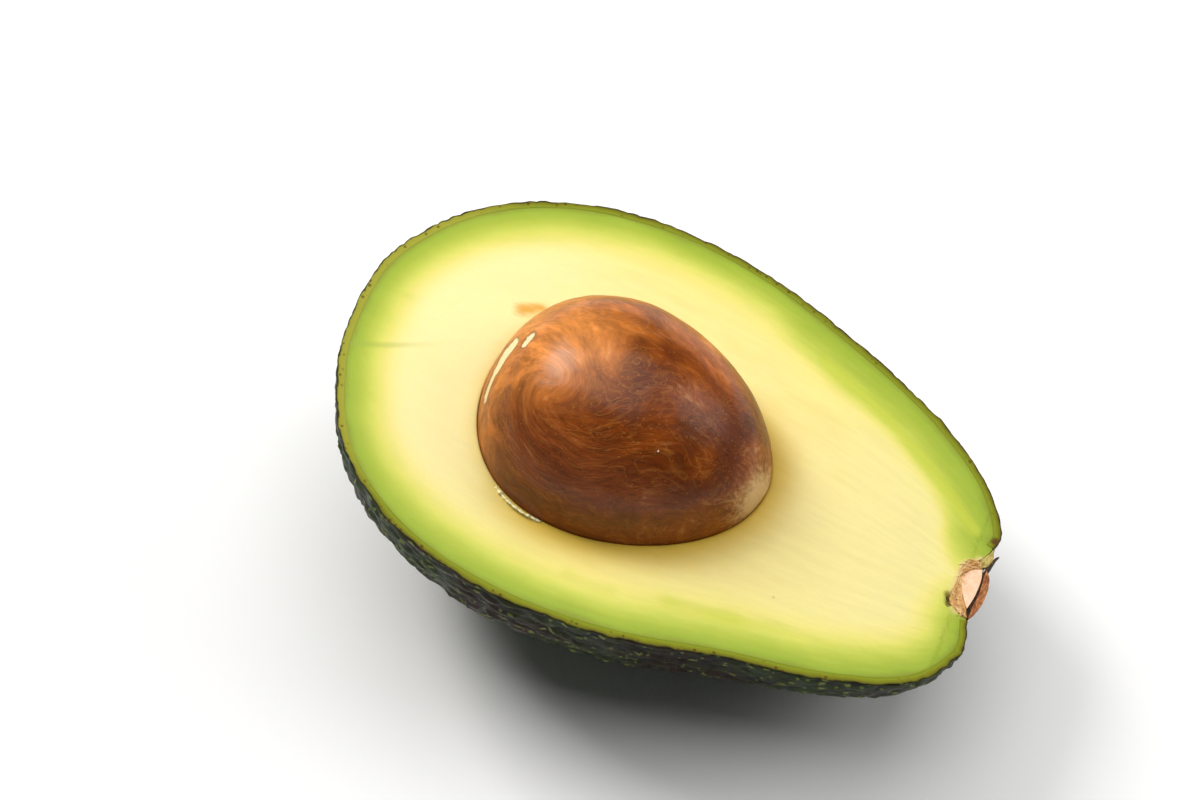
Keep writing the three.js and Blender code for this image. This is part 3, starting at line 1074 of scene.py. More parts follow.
@dataclass(frozen=True)
class FibrousFinish:
    """Dry fibrous tissue in two tones, with fibres along it and dark specks."""

    name: str
    light: str
    dark: str
    speck: str
    stretch: float = 0.5
    coarse: float = 1.3
    depth: float = 0.12
    rough: tuple[float, float] = (0.55, 0.8)
    speck_share: float = 0.25
    gloss: Gloss = Gloss(scatter=0.1, scatter_mm=0.6)

    def material(self, effects: Effects) -> bpy.types.Material:
        """Builds the material.

        Args:
            effects: The shared shader groups.

        Returns:
            The material.
        """
        material, graph = new_material(self.name)
        place = graph.grown()
        cloud = graph.group(effects.mottle, Place=place, Scale=self.coarse * 0.5, Stretch=1.0, Detail=3.0)
        fibre = graph.group(effects.mottle, Place=place, Scale=self.coarse, Stretch=self.stretch, Detail=4.0)
        threads = {"Scale": 0.6, "Stretch": self.stretch, "Bands": 9.0, "Width": 0.4}
        lines = graph.group(effects.fibres, Place=place, **threads)
        mixed = graph.maths("ADD", cloud, fibre)
        colour = graph.blend(graph.remap(mixed, -0.9, 0.9), paint(self.dark), paint(self.light))
        colour = graph.blend(graph.maths("MULTIPLY", lines, 0.3), colour, paint(self.dark))
        specks = graph.group(effects.specks, Place=place, Scale=1.4, Size=0.22, Share=self.speck_share)
        colour = graph.blend(graph.maths("MULTIPLY", specks, 0.6), colour, paint(self.speck))
        roughness = graph.remap(fibre, -1.0, 1.0, self.rough[1], self.rough[0])
        relief = graph.group(effects.grain, Place=place, Scale=2.4, Stretch=self.stretch, Depth=self.depth)
        self.gloss.shader(graph, colour, roughness, relief)
        return material


PITH = FibrousFinish(
    "stalk_pith", "#ffd8b8", "#f6c49c", "#b98658", rough=(0.5, 0.7), depth=0.06, speck_share=0.12
)
COLLAR = FibrousFinish(
    "stalk_collar", "#efc484", "#c48d4c", "#7d4c20", stretch=0.6, coarse=1.0, depth=0.1, speck_share=0.1
)
FIBRES = FibrousFinish(
    "stalk_fibres", "#f4d295", "#d29f5a", "#8a5626", stretch=2.0, depth=0.05, speck_share=0.08
)
# Bark colours darkened into painted shade, for the sheet under the stalk's slot and the strip beside the scale.
SHADED_BARK = FibrousFinish("stalk_shaded_underside", "#5a4224", "#2c1a0e", "#1c1008", depth=0.2)
BARK = FibrousFinish("stalk_bark", "#c98446", "#7a3f1a", "#3f1c0a", stretch=0.35, coarse=1.1, depth=0.15)
SCALE = FibrousFinish("stalk_scale", "#cdb868", "#93803a", "#4c3418", stretch=0.4, speck_share=0.12)
FLAKE = FibrousFinish(
    "seed_coat", "#fff8cc", "#f4e8a8", "#c8a558", stretch=2.5, depth=0.06, speck_share=0.08
)


# ------------------------------------------------------------------ pieces of the fruit


@dataclass(frozen=True)
class Layout:
    """What every piece is laid out from: the forms, the bearings round them, and the fruit's place."""

    form: OuterForm
    stone: StoneForm
    lean: Lean
    outer_probe: Probe
    columns: int = 640

    def bearings(self) -> np.ndarray:
        """The angles of the columns round the stone's centre, closer together at the stem."""
        track = self.form.outline(np.linspace(0, 1, 8001)) - np.array(self.stone.centre[:2])
        bearing = np.unwrap(np.arctan2(track[:, 1], track[:, 0]))
        middle = (bearing[1:] + bearing[:-1]) / 2
        from_stem = np.degrees(np.abs((middle + math.pi) % FULL_TURN - math.pi))
        finer = 1 + 2.5 * np.exp(-((from_stem / 8.0) ** 2))
        weight = np.linalg.norm(np.diff(track, axis=0), axis=1) * finer
        run = np.concatenate([[0.0], np.cumsum(weight)])
        even = np.linspace(0, run[-1], self.columns, endpoint=False)
        return np.interp(even, run, bearing)

    def outer(self, bearing: np.ndarray, dip: np.ndarray) -> tuple[np.ndarray, np.ndarray]:
        """Points and normals of the outer form.

        Args:
            bearing: One angle for each column.
            dip: One row of angles below the cut plane for each row of points.

        Returns:
            The points and the outward normals. Those in the cut plane stay in it.
        """
        points, normals = self.outer_probe.cast(rays(bearing[None, :] * np.ones((len(dip), 1)), dip))
        in_cut = dip < 1e-9
        points[in_cut, 2] = 0.0
        normals[in_cut, 2] = 0.0
        return points, unit(normals)


@dataclass
class Peel:
    """The peel: a pebbled bowl with a cut edge, open round the stem."""

    thickness: float = 1.2
    opening_low: float = math.radians(-5.9)
    opening_high: float = math.radians(6.9)
    opening_dip: float = math.radians(6.4)
    outside_rows: int = 104
    inside_rows: int = 12
    swell: float = 0.45
    plate: float = 0.42
    crease: float = 0.3
    pebble: float = 0.14
    dot: float = 0.16
    shoulder: tuple[float, float, float] = (41.0, 24.0, 0.0)
    shoulder_reach: float = 13.0
    shoulder_bump: float = 0.5
    floor_gap: float = 0.02
    noise: SolidNoise = field(default_factory=lambda: SolidNoise(11))

    def relief(self, points: np.ndarray) -> dict[str, np.ndarray]:
        """The relief of the outside.

        Args:
            points: Places on the smooth outer form.

        Returns:
            "rise", the height in millimetres, 0 on average, "height", the same from about 0 to 1 for
            colouring, and "dots", which is 1 on a raised dot.
        """
        noise = self.noise
        bend = np.stack([noise.smooth(points / 6.0 + k * 31.0) for k in range(3)], axis=-1)
        bent = points + 1.3 * bend
        plates = noise.cells(bent / np.array([4.6, 2.5, 2.5]))
        plate = eased(0.03, 0.42, plates[1] - plates[0])
        crease = 1 - np.abs(noise.layered(bent / np.array([7.5, 2.6, 2.6]) + 50.0, 3))
        crease = eased(0.55, 1.0, crease)
        near, _, _ = noise.cells(bent / 1.55 + 9.0)
        pebble = np.exp(-((near / 0.42) ** 2))
        apart, _, number = noise.cells(points / np.array([2.3, 1.35, 1.35]) + 80.0)
        dots = np.where(number < 0.75, eased(0.32, 0.17, apart * (0.8 + 0.7 * number)), 0.0)
        swell = noise.layered(points / 11.0 + 5.0, 2)
        rough = eased(-0.5, 0.4, noise.layered(points / 24.0 + 70.0, 2))
        rise = self.swell * swell + (0.45 + 0.55 * rough) * (
            self.plate * (plate - 0.75) - self.crease * (1 - crease) * 0.5 + self.pebble * pebble
        )
        from_shoulder = np.linalg.norm(points - np.array(self.shoulder), axis=-1) / self.shoulder_reach
        rise += self.shoulder_bump * np.exp(-(from_shoulder**2)) * noise.smooth(points / 3.3 + 60.0)
        height = 0.55 * plate + 0.3 * crease + 0.3 * pebble
        return {"rise": rise - rise.mean() + self.dot * dots, "height": height, "dots": dots}

    def start_dip(self, bearing: np.ndarray) -> np.ndarray:
        """How far below the cut plane the peel starts: 0, but deeper round the stem."""
        turned = (bearing + math.pi) % FULL_TURN - math.pi
        middle = (self.opening_low + self.opening_high) / 2
        share = (turned - middle) / ((self.opening_high - self.opening_low) / 2)
        return self.opening_dip * np.sqrt(np.clip(1 - share**2, 0.0, 1.0))

    def shell(self, layout: Layout) -> Shell:
        """Builds the closed skin of the peel."""
        bearing = layout.bearings()
        start = self.start_dip(bearing)
        share = np.linspace(0, 1, self.outside_rows + 1)[:-1] ** 1.12
        dip = start[None, :] + (math.pi / 2 - start[None, :]) * share[:, None]
        base, normal = layout.outer(bearing, dip)
        values = self.relief(base)
        below = np.linalg.norm(base - base[:1], axis=-1)
        calm = 1 - 0.45 * np.exp(-below / 1.5)
        outside = base + normal * (values["rise"] * calm)[..., None]

        inner_share = np.linspace(0, 1, self.inside_rows + 1)[:-1]
        inner_dip = start[None, :] + (math.pi / 2 - start[None, :]) * inner_share[:, None]
        inner_base, inner_normal = layout.outer(bearing, inner_dip)
        inside = inner_base - inner_normal * self.thickness

        steps = np.array([0.05, 0.14, 0.3, 0.5, 0.7, 0.88, 0.97])
        ragged = self.noise.layered(outside[0] / 1.1 + 3.0, 2) + self.noise.smooth(outside[0] / 4.0)
        edge = outside[0] + (inside[0] - outside[0]) * steps[:, None, None]
        crown = np.sin(np.pi * steps) * (1.2 - steps)
        edge[..., 2] += crown[:, None] * (0.02 + 0.05 * ragged)

        rows = np.concatenate([outside[::-1], edge, inside])
        grown = np.concatenate([base[::-1], edge, inside])
        flat = np.ones(rows.shape[:2])
        outside_count, edge_count = len(outside), len(edge)
        cut = flat.copy()
        cut[:outside_count] = -np.clip(below[::-1], 0, 1.0)
        cut[outside_count : outside_count + edge_count] = steps[:, None]
        floor = np.full(rows.shape[:2], self.floor_gap)
        floor[outside_count + edge_count :] = self.thickness
        height, dots = 0.6 * flat, 0 * flat
        height[:outside_count] = values["height"][::-1]
        dots[:outside_count] = values["dots"][::-1]
        return sweep(rows, {"cut": cut, "height": height, "dots": dots}, grown, floor)

    def build(self, layout: Layout, effects: Effects) -> bpy.types.Object:
        """Makes the piece and dresses it."""
        made = made_mesh("peel_skin", [self.shell(layout)], layout.lean)
        made.data.materials.append(PeelFinish().material(effects))
        return made


@dataclass
class Flesh:
    """The flesh: the cut face with its marks, the stone's hollow, and the bowl that fills the peel."""

    inset: float = 1.205
    clearance: float = 0.07
    bowl_rows: int = 16
    face_rows: int = 46
    hollow_rows: int = 22
    lip: float = 0.12
    socket: FlatPath = (
        (58.0, 8.2),
        (58.2, 7.1),
        (57.7, 5.9),
        (57.1, 4.9),
        (56.3, 4.3),
        (55.3, 3.7),
        (54.9, 2.6),
        (54.85, 1.0),
        (54.9, -0.5),
        (54.7, -2.0),
        (54.5, -3.1),
        (54.9, -4.2),
        (55.6, -4.3),
        (56.3, -4.9),
        (57.4, -5.3),
        (58.2, -5.5),
        (58.1, -6.6),
    )
    hole: FlatPath = ((54.5, -2.9), (54.85, -3.5), (55.0, -4.2))
    strand: FlatPath = ((-43.5, -4.9), (-38.0, -2.6), (-31.2, 1.0), (-27.0, 4.0))
    stain: FlatPath = ((-19.4, 14.4), (-21.9, 12.9))
    seam: FlatPath = (
        (54.8, 9.2),
        (52.2, 10.9),
        (49.1, 13.2),
        (44.0, 16.9),
        (38.0, 20.2),
        (31.0, 23.6),
        (24.0, 26.2),
    )
    blotches: tuple[FlatPath, ...] = (
        ((2.0, -25.2), (8.5, -25.0)),
        ((17.0, -22.6), (27.0, -21.2)),
    )
    noise: SolidNoise = field(default_factory=lambda: SolidNoise(23))

    def edge(self, layout: Layout, bearing: np.ndarray, dip: np.ndarray) -> np.ndarray:
        """Points where the flesh meets the peel, or the stalk near the stem.

        Args:
            layout: The shared layout.
            bearing: The columns' angles.
            dip: The rows' angles below the cut plane, one row for each row of points.

        Returns:
            The points.
        """
        base, normal = layout.outer(bearing, dip)
        points = base - normal * self.inset
        centre = np.array(layout.stone.centre)
        track = np.array(self.socket) - centre[:2]
        angle = np.arctan2(track[:, 1], track[:, 0])
        turned = (bearing + math.pi) % FULL_TURN - math.pi
        reach = np.interp(turned, angle[::-1], np.linalg.norm(track, axis=1)[::-1])
        at_stem = (turned > angle.min()) & (turned < angle.max())
        share = np.where(at_stem, 1.0, 0.0)[None, :] * (1 - eased(0.0, math.radians(5.0), dip))
        stem = centre + rays(bearing[None, :] * np.ones((len(dip), 1)), dip) * reach[None, :, None]
        return points + (stem - points) * share[..., None]

    def peel_edge(self, layout: Layout, bearing: np.ndarray, rim: np.ndarray) -> np.ndarray:
        """The part of the flesh's rim that lies against the peel, as an open path round the fruit."""
        turned = (bearing + math.pi) % FULL_TURN - math.pi
        middle = layout.stone.centre
        lips = (self.socket[1], self.socket[-2])
        ends = [math.atan2(y - middle[1], x - middle[0]) for x, y in lips]
        at_stem = np.flatnonzero((turned < ends[0]) & (turned > ends[1]))
        return np.roll(rim, -(at_stem[-1] + 1), axis=0)[: len(rim) - len(at_stem)]

    @staticmethod
    def painted_stone_shadow(layout: Layout, plane: np.ndarray, lip: np.ndarray) -> np.ndarray:
        """How much painted shadow of the stone lies beside it, as dusky yellow: most towards the stem and the
        lean side, where the stone's shadow falls.
        """
        across = unit(plane - np.array(layout.stone.centre[:2]))
        side = eased(-0.3, 0.6, across @ np.array([math.cos(0.8), -math.sin(0.8)]))
        return side * np.exp(-((lip / 4.3) ** 1.6))

    def face_height(self, place: np.ndarray, rind: np.ndarray, lip: np.ndarray) -> np.ndarray:
        """The height of the cut face, in millimetres.

        Args:
            place: Places in the cut plane.
            rind: Their distance from the peel.
            lip: Their distance from the hollow.

        Returns:
            The height above the cut plane.
        """
        noise = self.noise
        wide = 0.14 * noise.layered(place / 13.0, 2)
        drag = 0.035 * noise.layered(place / np.array([11.0, 1.7, 1.0]) + 40.0, 3)
        fade = eased(0.0, 3.0, rind) * eased(0.0, 2.0, lip)
        rounded = -0.02 * np.exp(-rind / 0.5) - self.lip * np.exp(-((lip / 0.3) ** 1.2))
        hole = distance_to_path(place[..., :2], np.array(self.hole))
        return fade * wide + eased(0.0, 1.0, rind) * drag + rounded - 1.1 * np.exp(-((hole / 0.4) ** 2))

    def shell(self, layout: Layout) -> tuple[Shell, np.ndarray]:
        """Builds the closed skin of the flesh.

        Returns:
            The skin, and for each of its points the place along and across the fruit that streaks follow.
        """
        bearing = layout.bearings()
        row = np.ones(len(bearing))
        bowl_dip = (math.pi / 2) * (np.linspace(0, 1, self.bowl_rows + 1)[:-1] ** 1.3)[:, None] * row
        bowl = self.edge(layout, bearing, bowl_dip)
        hollow_probe = Probe(layout.stone.grid(self.clearance), layout.stone.centre)
        hollow_dip = (math.pi / 2) * (np.linspace(0, 1, self.hollow_rows + 1)[:-1] ** 1.5)[:, None] * row
        hollow, _ = hollow_probe.cast(rays(bearing[None, :] * np.ones((self.hollow_rows, 1)), hollow_dip))
        hollow[0, :, 2] = 0.0

        share = np.linspace(0, 1, self.face_rows + 1)[1:-1]
        share = np.concatenate([[0.0012], share - 0.075 * np.sin(FULL_TURN * share)])
        face = bowl[0] + (hollow[0] - bowl[0]) * share[:, None, None]
        flat = np.concatenate([bowl[::-1], face, hollow])
        lip_path = np.vstack([hollow[0], hollow[0][:1]])
        rind = distance_to_path(flat, self.peel_edge(layout, bearing, bowl[0])[::4])
        lip = distance_to_path(flat, lip_path[::4])
        rows = flat.copy()
        on_face = slice(self.bowl_rows - 1, self.bowl_rows + self.face_rows + 1)
        rows[on_face, :, 2] += self.face_height(flat[on_face], rind[on_face], lip[on_face])

        plane = flat[..., :2]
        depth = np.maximum(0.0, -rows[..., 2])
        in_hollow = np.zeros(flat.shape[:2])
        in_hollow[on_face.stop - 1 :] = depth[on_face.stop - 1 :]
        along_seam = np.exp(-((distance_to_path(plane, np.array(self.seam)) / 9.0) ** 4))
        beyond = np.clip(rind, 0, 12) * along_seam
        broad = rind - 0.36 * beyond + 2.6 * along_seam * eased(6.2, 8.6, rind)
        broad[: self.bowl_rows] = 0.0
        tinted = distance_to_path(plane, np.array(self.seam))
        for blotch in self.blotches:
            tinted = np.minimum(tinted, 0.7 + 0.4 * distance_to_path(plane, np.array(blotch)))
        values = {
            "rind": broad,
            "hollow": in_hollow,
            "lip": lip,
            # Painted shadow of the stone on the face.
            "painted_stone_shadow": self.painted_stone_shadow(layout, plane, lip),
            "seam": tinted + 2.0 * in_hollow,
            "strand": distance_to_path(plane, np.array(self.strand)),
            "stain": distance_to_path(plane, np.array(self.stain)) + 3.0 * in_hollow,
            "socket": distance_to_path(plane, np.array(self.socket[3:14])),
            "hole": distance_to_path(plane, np.array(self.hole)),
        }
        floor = np.full(rows.shape[:2], self.inset)
        shell = sweep(rows, values, flat, floor)
        half = np.linspace(0, 0.5, 400)
        outline = layout.form.outline(half), layout.form.outline(1 - half)
        upper = np.interp(shell.grown[:, 0], outline[0][:, 0], outline[0][:, 1])
        lower = np.interp(shell.grown[:, 0], outline[1][:, 0], outline[1][:, 1])
        lane = (shell.grown[:, 1] - (upper + lower) / 2) / np.maximum((upper - lower) / 2, 4.0)
        return shell, np.column_stack([shell.grown[:, 0], 30.0 * lane, shell.grown[:, 2]])

    def build(self, layout: Layout, effects: Effects) -> bpy.types.Object:
        """Makes the piece and dresses it."""
        shell, lanes = self.shell(layout)
        made = made_mesh("flesh_body", [shell], layout.lean)
        store = made.data.attributes.new("lanes", "FLOAT_VECTOR", "POINT")
        store.data.foreach_set("vector", lanes.astype(np.float32).ravel())
        made.data.materials.append(FleshFinish().material(effects))
        return made


@dataclass
class Stone:
    """The stone, whole, with pale streaks sunk slightly into its coat at the blossom end."""

    rows: int = 230
    columns: int = 300
    swell: float = 0.3
    ripple: float = 0.07
    tip_rise: float = 0.7
    tip_patch: tuple[float, float, float] = (22.6, -2.2, 2.2)
    tip_reach: float = 5.0
    # Where the painted highlight lies, and how far it reaches.
    painted_highlight_at: tuple[float, float, float] = (-12.5, 1.5, 14.5)
    painted_highlight_reach: float = 11.0
    pale_streaks: tuple[SolidPath, ...] = (
        ((-19.9, 1.2, 8.9), (-20.5, -1.2, 7.6), (-20.6, -3.8, 6.2), (-20.4, -6.2, 4.4)),
        ((-19.6, 0.8, 9.5), (-20.3, -2.4, 7.4)),
        ((-17.0, 1.5, 13.0), (-17.7, 0.2, 12.7)),
    )
    pale_streak_widths: tuple[float, ...] = (0.85, 1.25, 0.6)
    speck: tuple[float, float, float] = (7.1, -8.8, 15.0)
    noise: SolidNoise = field(default_factory=lambda: SolidNoise(37))

    def shell(self, layout: Layout) -> Shell:
        """Builds the closed skin of the stone."""
        form, noise = layout.stone, self.noise
        angle = np.linspace(0, math.pi, self.rows + 2)[1:-1, None] * np.ones(self.columns)
        around = np.linspace(0, FULL_TURN, self.columns, endpoint=False)[None, :] * np.ones((self.rows, 1))
        base = form.surface(angle, around)
        normal = unit(form.surface(angle, around, 1.0) - base)
        from_tip = math.pi - angle
        rise = self.swell * noise.layered(base / 12.0, 2) - 0.1
        rise += self.ripple * noise.layered(base / np.array([4.0, 1.8, 1.8]), 3)
        rise += self.tip_rise * np.exp(-((from_tip / 0.16) ** 2))
        rise = rise * eased(-0.5, 3.5, base[..., 2]) - 0.02
        # Distance from the pale streaks, which are sunk 0.1 mm into the coat.
        streak_gap = np.full(base.shape[:2], np.inf)
        for streak_path, width in zip(self.pale_streaks, self.pale_streak_widths):
            streak_gap = np.minimum(streak_gap, distance_to_path(base, np.array(streak_path)) - width)
        rise -= 0.1 * eased(0.3, -0.1, streak_gap)
        speck = np.linalg.norm(base - np.array(self.speck), axis=-1)
        rise += 0.12 * eased(0.4, 0.2, speck)

        # Orange towards the far side and the blossom end: partly the coat's own colour, partly painted light on
        # the side that the key light falls on.
        up = base[..., 2] / form.radius
        far = eased(-2.0, 19.0, base[..., 1])
        blossom = eased(-10.0, -22.0, base[..., 0])
        amber_and_lit_side = np.clip(0.7 * far * (0.8 - 0.1 * up) + 0.62 * blossom, 0, 1)
        rosy = eased(-6.0, -18.0, base[..., 1]) * 0.9
        tip = np.exp(-((np.linalg.norm(base - np.array(self.tip_patch), axis=-1) / self.tip_reach) ** 2))
        # Painted highlight: a paler patch where the key light falls.
        crown = np.linalg.norm(base - np.array(self.painted_highlight_at), axis=-1)
        painted_highlight = np.exp(-((crown / self.painted_highlight_reach) ** 2))
        values = {"streak_gap": streak_gap, "speck": speck, "amber_and_lit_side": amber_and_lit_side, "rosy": rosy, "tip": tip, "painted_highlight": painted_highlight}
        return sweep(base + normal * rise[..., None], values, base)

    def build(self, layout: Layout, effects: Effects) -> bpy.types.Object:
        """Makes the piece and dresses it."""
        made = made_mesh("stone_seed", [self.shell(layout)], layout.lean)
        made.data.materials.append(StoneFinish().material(effects))
        return made


@dataclass
class CoatFlake:
    """A shred of the stone's coat that stands on the flesh beside the hollow."""

    line: FlatPath = (
        (-13.2, -17.0),
        (-11.1, -18.2),
        (-8.9, -19.0),
        (-6.9, -19.3),
        (-4.9, -19.3),
    )
    thickness: float = 0.75
    tallest: float = 1.1
    stations: int = 90
    noise: SolidNoise = field(default_factory=lambda: SolidNoise(41))

    def shell(self) -> Shell:
        """Builds the closed skin of the flake: a thin ragged sheet that leans outwards."""
        path = open_spline(np.array(self.line), self.stations)
        ahead = unit(np.gradient(path, axis=0))
        outward = np.column_stack([ahead[:, 1], -ahead[:, 0]])
        share = np.linspace(0, 1, self.stations)
        spot = np.column_stack([share * 9.0, np.zeros(self.stations), np.zeros(self.stations)])
        ragged = 0.6 + 0.8 * self.noise.layered(spot, 3)
        ends = np.sqrt(np.sin(np.pi * np.clip(share, 0.004, 0.996)))
        tall = self.tallest * np.clip(ragged, 0.15, 1.0) * ends
        climb = np.array([-0.25, 0.1, 0.35, 0.6, 0.82, 1.0])
        sheet = np.concatenate([climb, climb[::-1]])
        slim = np.array([1.0, 1.0, 0.9, 0.8, 0.65, 0.4])
        side = np.concatenate([-slim, slim[::-1]])
        wave = 0.12 * self.noise.smooth(spot * 1.7 + 8.0)
        bulge = 0.35 * sheet[None, :] ** 2 * tall[:, None] + wave[:, None]
        body = self.thickness / 2 * np.clip(0.7 + 0.9 * self.noise.layered(spot * 1.3 + 30.0, 2), 0.25, 1.3)
        offset = bulge + side[None, :] * body[:, None]
        rows = np.empty((self.stations, 12, 3))
        rows[..., :2] = path[:, None] + outward[:, None] * offset[..., None]
        rows[..., 2] = sheet[None, :] * tall[:, None]
        return sweep(rows)

    def build(self, layout: Layout, effects: Effects) -> bpy.types.Object:
        """Makes the piece and dresses it."""
        made = made_mesh("coat_flake", [self.shell()], layout.lean)
        made.data.materials.append(FLAKE.material(effects))
        return made


@dataclass
class Stalk:
    """What is left of the stalk: pith, bark, a pointed scale and torn fibres."""

    pith_outer: FlatPath = ((57.9, 3.4), (58.2, 2.0), (58.3, 0.5), (58.15, -1.7), (57.75, -3.8))
    pith_inner: FlatPath = ((57.9, 3.4), (56.6, 2.7), (55.5, 1.1), (56.1, -1.2), (57.75, -3.8))
    collar_outer: FlatPath = (
        (57.9, 3.9),
        (56.8, 4.5),
        (55.6, 3.8),
        (54.95, 2.3),
        (54.9, 0.2),
        (54.8, -1.8),
        (55.0, -3.6),
        (56.2, -4.7),
        (58.2, -5.2),
    )
    collar_inner: FlatPath = (
        (57.9, 3.9),
        (57.3, 3.3),
        (56.4, 2.75),
        (55.6, 1.8),
        (55.45, 0.6),
        (55.9, -0.9),
        (56.7, -2.5),
        (57.6, -3.95),
        (58.2, -5.2),
    )
    bark_outer: FlatPath = ((58.5, 3.6), (59.4, 2.2), (59.75, -0.6), (59.4, -3.2), (58.5, -5.2))
    bark_inner: FlatPath = ((58.5, 3.6), (58.55, 2.0), (58.7, -0.6), (58.45, -3.2), (58.5, -5.2))
    back_outer: FlatPath = ((58.4, 3.7), (59.1, 2.0), (59.3, -0.6), (59.0, -3.0), (58.4, -5.1))
    back_inner: FlatPath = ((58.4, 3.7), (57.6, 2.0), (57.5, -0.6), (57.5, -3.0), (58.4, -5.1))
    back_drop: float = 0.5
    scale_outer: FlatPath = (
        (57.7, 3.7),
        (58.4, 4.1),
        (58.75, 5.0),
        (58.85, 5.9),
        (58.65, 6.6),
        (58.4, 7.3),
    )
    scale_inner: FlatPath = (
        (57.7, 3.7),
        (57.15, 4.6),
        (57.55, 5.5),
        (57.95, 6.2),
        (58.2, 6.8),
        (58.4, 7.3),
    )
    spur: SolidPath = (
        (58.5, 3.2, -0.4),
        (58.75, 4.2, -0.2),
        (58.95, 5.1, -0.15),
        (59.15, 5.8, -0.05),
        (59.55, 6.5, 0.1),
    )
    fibre_count: int = 150
    noise: SolidNoise = field(default_factory=lambda: SolidNoise(53))

    def body(
        self,
        sides: tuple[FlatPath, FlatPath],
        hinge: tuple[float, float],
        depth: float,
        rough: float,
        drop: float = 0.0,
    ) -> Shell:
        """One cut-through piece of the stalk.

        Args:
            sides: Knots of the two sides of its flat top.
            hinge: The place in the cut plane that it shrinks towards below.
            depth: How deep it goes.
            rough: How far its surface strays, in millimetres.
            drop: How far its top lies under the cut plane.

        Returns:
            Its closed skin.
        """
        first, second = (open_spline(np.array(side), 48) for side in sides)
        rings = cut_body(first, second, np.array(hinge), depth) - np.array([0.0, 0.0, drop])
        stray = np.stack([self.noise.layered(rings * 1.4 + 20.0 * k, 3) for k in range(3)], axis=-1)
        return sweep(rings + rough * stray, None, rings, fans=(False, True))

    def fibres(self) -> list[Shell]:
        """The tan fibres that the knife tore where the stalk runs into the flesh."""
        draw = np.random.default_rng(7)
        shells = []
        edge = open_spline(np.array(self.collar_inner), 200)
        rim = open_spline(np.array(self.collar_outer), 200)
        for _ in range(self.fibre_count):
            at = draw.integers(8, 192)
            start = edge[at] + (rim[at] - edge[at]) * draw.uniform(0.0, 1.0)
            along = unit(edge[at + 5] - edge[at - 5]) * draw.choice([-1.0, 1.0])
            outward = unit(rim[at] - edge[at])
            heading = unit(along + outward * draw.normal(0.25, 0.6))
            length = draw.uniform(0.4, 1.5)
            forward = np.array([*heading, draw.uniform(-0.05, 0.35)])
            side = np.array([-heading[1], heading[0], draw.uniform(-0.4, 0.6)])
            share = np.linspace(0, 1, 9)[:, None]
            begin = np.array([*start, draw.uniform(-0.05, 0.2)])
            path = begin + share * length * forward + np.sin(share * 2.6) * side * draw.normal(0, 0.16)
            shells.append(sweep(strand(path, draw.uniform(0.04, 0.1))))
        return shells

    def build(self, layout: Layout, effects: Effects) -> dict[str, bpy.types.Object]:
        """Makes the pieces and dresses them.

        Returns:
            The pieces by name.
        """
        pith = self.body((self.pith_outer, self.pith_inner), (57.4, -0.2), 3.4, 0.04)
        collar = self.body((self.collar_outer, self.collar_inner), (56.6, -0.4), 3.0, 0.09)
        cap = self.body((self.bark_outer, self.bark_inner), (58.6, -0.9), 4.2, 0.07)
        # A sheet just under the cut plane that closes the slot under the pith and bark, and a strip beside the
        # scale, both coloured as painted shade.
        back = self.body((self.back_outer, self.back_inner), (58.3, -0.7), 3.6, 0.05, self.back_drop)
        blade = self.body((self.scale_outer, self.scale_inner), (58.0, 5.0), 1.8, 0.06)
        spur = sweep(strand(open_spline(np.array(self.spur), 24), 0.42, 9, 0.4))
        plan = {
            "stalk_pith": ([pith], PITH),
            "stalk_collar": ([collar], COLLAR),
            "stalk_bark_cap": ([cap], BARK),
            "stalk_shaded_underside": ([back, spur], SHADED_BARK),
            "stalk_scale_tip": ([blade], SCALE),
        }
        made = {}
        for name, (shells, finish) in plan.items():
            made[name] = made_mesh(name, shells, layout.lean, weld=True)
            made[name].data.materials.append(finish.material(effects))
        made["stalk_fibres"] = made_mesh("stalk_fibres", self.fibres(), layout.lean)
        made["stalk_fibres"].data.materials.append(FIBRES.material(effects))
        return made


# ------------------------------------------------------------------ the studio


@dataclass(frozen=True)
class Softbox:
    """A square area light that looks at the fruit."""

    name: str
    direction: tuple[float, float, float]
    distance: float
    size: float
    power: float
    colour: tuple[float, float, float] = (1.0, 1.0, 1.0)

    def build(self, target: Vector) -> None:
        """Adds the light, turned towards a target."""
        light = bpy.data.lights.new(self.name, "AREA")
        light.shape, light.size, light.energy, light.color = "SQUARE", self.size, self.power, self.colour
        lamp = bpy.data.objects.new(self.name, light)
        ray = Vector(self.direction).normalized()
        lamp.location = target + ray * self.distance
        lamp.rotation_euler = ray.to_track_quat("Z", "Y").to_euler()
        bpy.context.scene.collection.objects.link(lamp)


